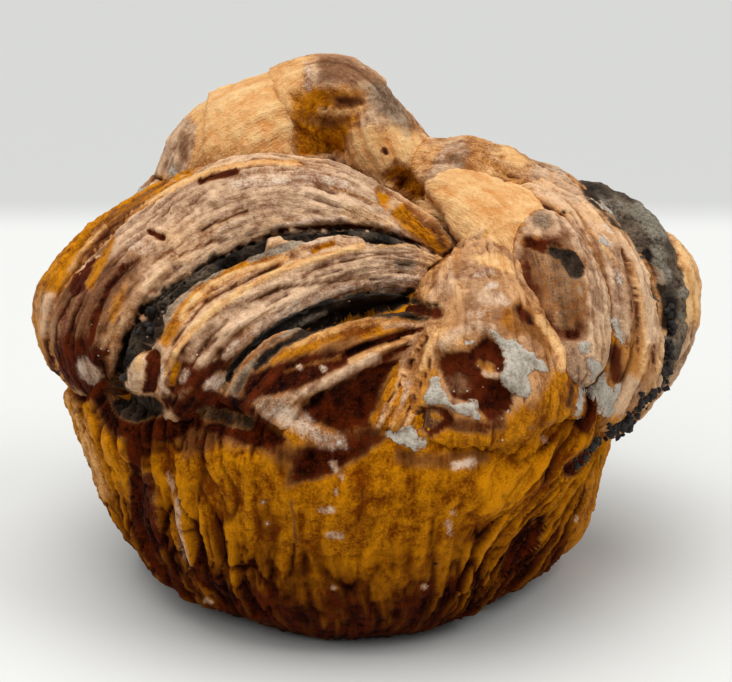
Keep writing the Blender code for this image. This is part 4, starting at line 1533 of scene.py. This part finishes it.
def makeIcing(material):
    bm = bmesh.new()
    bm.verts.layers.float_vector.new("cover")
    for thick, outline in icingLook["front"]:
        drape(bm, photoEye, thick, outline)
    for angles, patches in icingLook["others"]:
        for thick, *place in patches:
            drape(bm, viewFrom(*angles), thick, splash(*place))
    longest = icingLook["cell"] / pixelsPerMm * icingLook["torn"] * mm
    torn = [edge for edge in bm.edges if edge.calc_length() > longest]
    bmesh.ops.delete(bm, geom=torn, context="EDGES")
    loose = [vert for vert in bm.verts if not vert.link_faces]
    bmesh.ops.delete(bm, geom=loose, context="VERTS")
    for _ in range(2):
        bmesh.ops.smooth_vert(bm, verts=bm.verts, factor=0.4, use_axis_x=True, use_axis_y=True,
                              use_axis_z=True)
    bmesh.ops.recalc_face_normals(bm, faces=bm.faces)
    bmesh.ops.solidify(bm, geom=bm.faces, thickness=icingLook["sheet"] * mm)
    bmesh.ops.recalc_face_normals(bm, faces=bm.faces)
    return finishPiece("icing", meshFrom("icing", bm), material, None)


# grains of sugar and burnt crumbs: sizes in mm, single ones and heaps (count and spread in
# pixels, then points along the heap) in the photograph's pixels
grains = {
    "sugarGrains": {
        "smooth": 1, "size": (0.08, 0.17), "sink": 0.2, "seed": 5, "rough": 0.3,
        "single": ((240, 324), (197, 355), (299, 367), (323, 369), (557, 313), (560, 316), (220, 158),
                   (341, 477), (335, 492), (334, 588), (263, 502), (267, 523), (502, 440), (545, 440),
                   (465, 460), (577, 519)),
        "heaps": ((6, 30, ((150, 220), (330, 200))), (9, 26, ((180, 360), (400, 262))),
                  (5, 14, ((455, 385), (500, 375))), (5, 20, ((600, 270), (640, 380))),
                  (6, 16, ((80, 300), (110, 370)))),
    },
    "burntCrumbs": {
        "smooth": 1, "size": (0.25, 0.7), "sink": 0.4, "seed": 9, "rough": 0.8,
        "single": ((673, 385), (652, 392), (646, 408), (633, 422), (150, 330)),
        "heaps": ((60, 4, ((668, 305), (672, 330), (667, 360), (662, 388))),
                  (30, 5, ((655, 390), (632, 412))),
                  (60, 5, ((632, 420), (606, 434))), (24, 4, ((600, 440), (572, 468))),
                  (10, 3, ((150, 310), (130, 360), (118, 396)))),
    },
}


def makeGrains(name, look, material):
    # every grain is a small ball with ragged points, half sunk in the crust
    draw = np.random.default_rng(look["seed"])
    spots = [np.array(spot, float) for spot in look["single"]]
    for count, loose, line in look["heaps"]:
        for _ in range(count):
            place = draw.uniform(0, len(line) - 1)
            start = np.array(line[int(place)], float)
            end = np.array(line[int(place) + 1], float)
            spots.append(start + (end - start) * (place % 1) + draw.normal(size=2) * loose * 0.5)
    bm = bmesh.new()
    for spot in spots:
        place, normal = hitFrom(photoEye, spot)
        size = draw.uniform(*look["size"])
        turn = Euler(draw.uniform(0, math.tau, 3)).to_matrix().to_4x4()
        stretch = draw.uniform(0.6, 1.3, 3)
        if place is None:
            continue
        stand = place + normal * size * (1 - look["sink"]) * 0.5 * mm
        matrix = Matrix.Translation(stand) @ turn @ Matrix.Diagonal((*stretch, 1))
        made = bmesh.ops.create_icosphere(bm, subdivisions=look["smooth"], radius=size * mm, matrix=matrix)
        for vert in made["verts"]:
            vert.co += Vector(draw.normal(size=3)) * size * look["rough"] * 0.25 * mm
    return finishPiece(name, meshFrom(name, bm), material, None)


floorLook = {
    "radius": 1.6,             # m
    "near": tone(214, 215, 212),
    "far": tone(187, 188, 186),
    "seam": 0.225,             # m behind the knot, beyond which the floor is greyer
    "blur": 0.02,              # m by which the two tones run into each other
    "sides": (0.26, 0.36),     # m to each side, over which the greyer tone ends
}


def makeFloor():
    bm = bmesh.new()
    bmesh.ops.create_circle(bm, cap_ends=True, radius=floorLook["radius"], segments=96)
    mesh = meshFrom("floor", bm)
    floor = addObject("floor", mesh)
    paint = Paint("paleFloor")
    here = paint.node("ShaderNodeTexCoord", {}, {}, "Object")
    across, along, _ = paint.parts(here)
    seam, blur = floorLook["seam"], floorLook["blur"]
    beyond = along.between(seam - blur, seam + blur)
    beyond = beyond * (1 - across.maths("ABSOLUTE", across).between(*floorLook["sides"]))
    colour = paint.blend(beyond, floorLook["near"], floorLook["far"])
    paint.feed(paint.surface, {"Base Color": colour, "Roughness": 0.6})
    mesh.materials.append(paint.material)


lights = {
    # where it comes from in mm, how wide it is in degrees, and its strength
    "overhead": ((-60, 20, 640), 54, 2.1),
    "front": ((-190, -300, 520), 56, 1.05),
    "right": ((380, -140, 470), 34, 0.85),
}
skyLook = {"colour": (0.97, 0.975, 0.98, 1), "strength": 0.31}


def makeLights():
    for name, (place, width, strength) in lights.items():
        lamp = bpy.data.lights.new(name, "SUN")
        lamp.angle = math.radians(width)
        lamp.energy = strength
        stand(addObject(name, lamp), place, -Vector(place))
    world = bpy.data.worlds.new("studio")
    bpy.context.scene.world = world
    world.use_nodes = True
    sky = world.node_tree.nodes["Background"]
    sky.inputs["Color"].default_value = skyLook["colour"]
    sky.inputs["Strength"].default_value = skyLook["strength"]


bpy.context.scene.view_settings.view_transform = "Standard"
makeCamera()
makeFloor()
makeLights()
print("camera, floor and lights made")

crustPaint = makeCrust("bakedCrust", 0.05)
cupPaint = makeCrust("tinCrust", 0.02)
charPaint = makeCharPaint("charredFilling")
shapes = {"cup": cupShape()}
raiseCup(shapes["cup"])
for count, (name, look) in enumerate(folds.items()):
    shapes[name] = foldShape(name, look["path"])
    raiseFold(name, look, shapes[name], 3 + count * 5)
    print(name, "raised,", len(shapes[name]["places"]), "points")
for count, (name, look) in enumerate(fillings.items()):
    shapes[name] = foldShape(name, fillingPath(look))
    raiseFilling(look, shapes[name], 101 + count * 7)

nearestDepth = depthSeen(shapes.values())
pieces = []
for name, shape in shapes.items():
    if name in fillings:
        pieces.append(finishShape(name, shape, charPaint, fillings[name]["node"]))
    else:
        paint = cupPaint if name == "cup" else crustPaint
        pieces.append(finishShape(name, shape, paint, "knot_dough"))
print("marks painted on", len(pieces), "pieces")

crustTree = surfaceTree(pieces)
makeIcing(makeIcingPaint("driedIcing"))
sugarPaint = makePlainPaint("sugar", tone(214, 196, 178), tone(170, 142, 118), 900, 0.4)
crumbPaint = makePlainPaint("burntCrumb", tone(44, 34, 27), tone(9, 6, 5), 1200, 0.85)
makeGrains("sugarGrains", grains["sugarGrains"], sugarPaint)
makeGrains("burntCrumbs", grains["burntCrumbs"], crumbPaint)
print("icing, sugar and crumbs made")
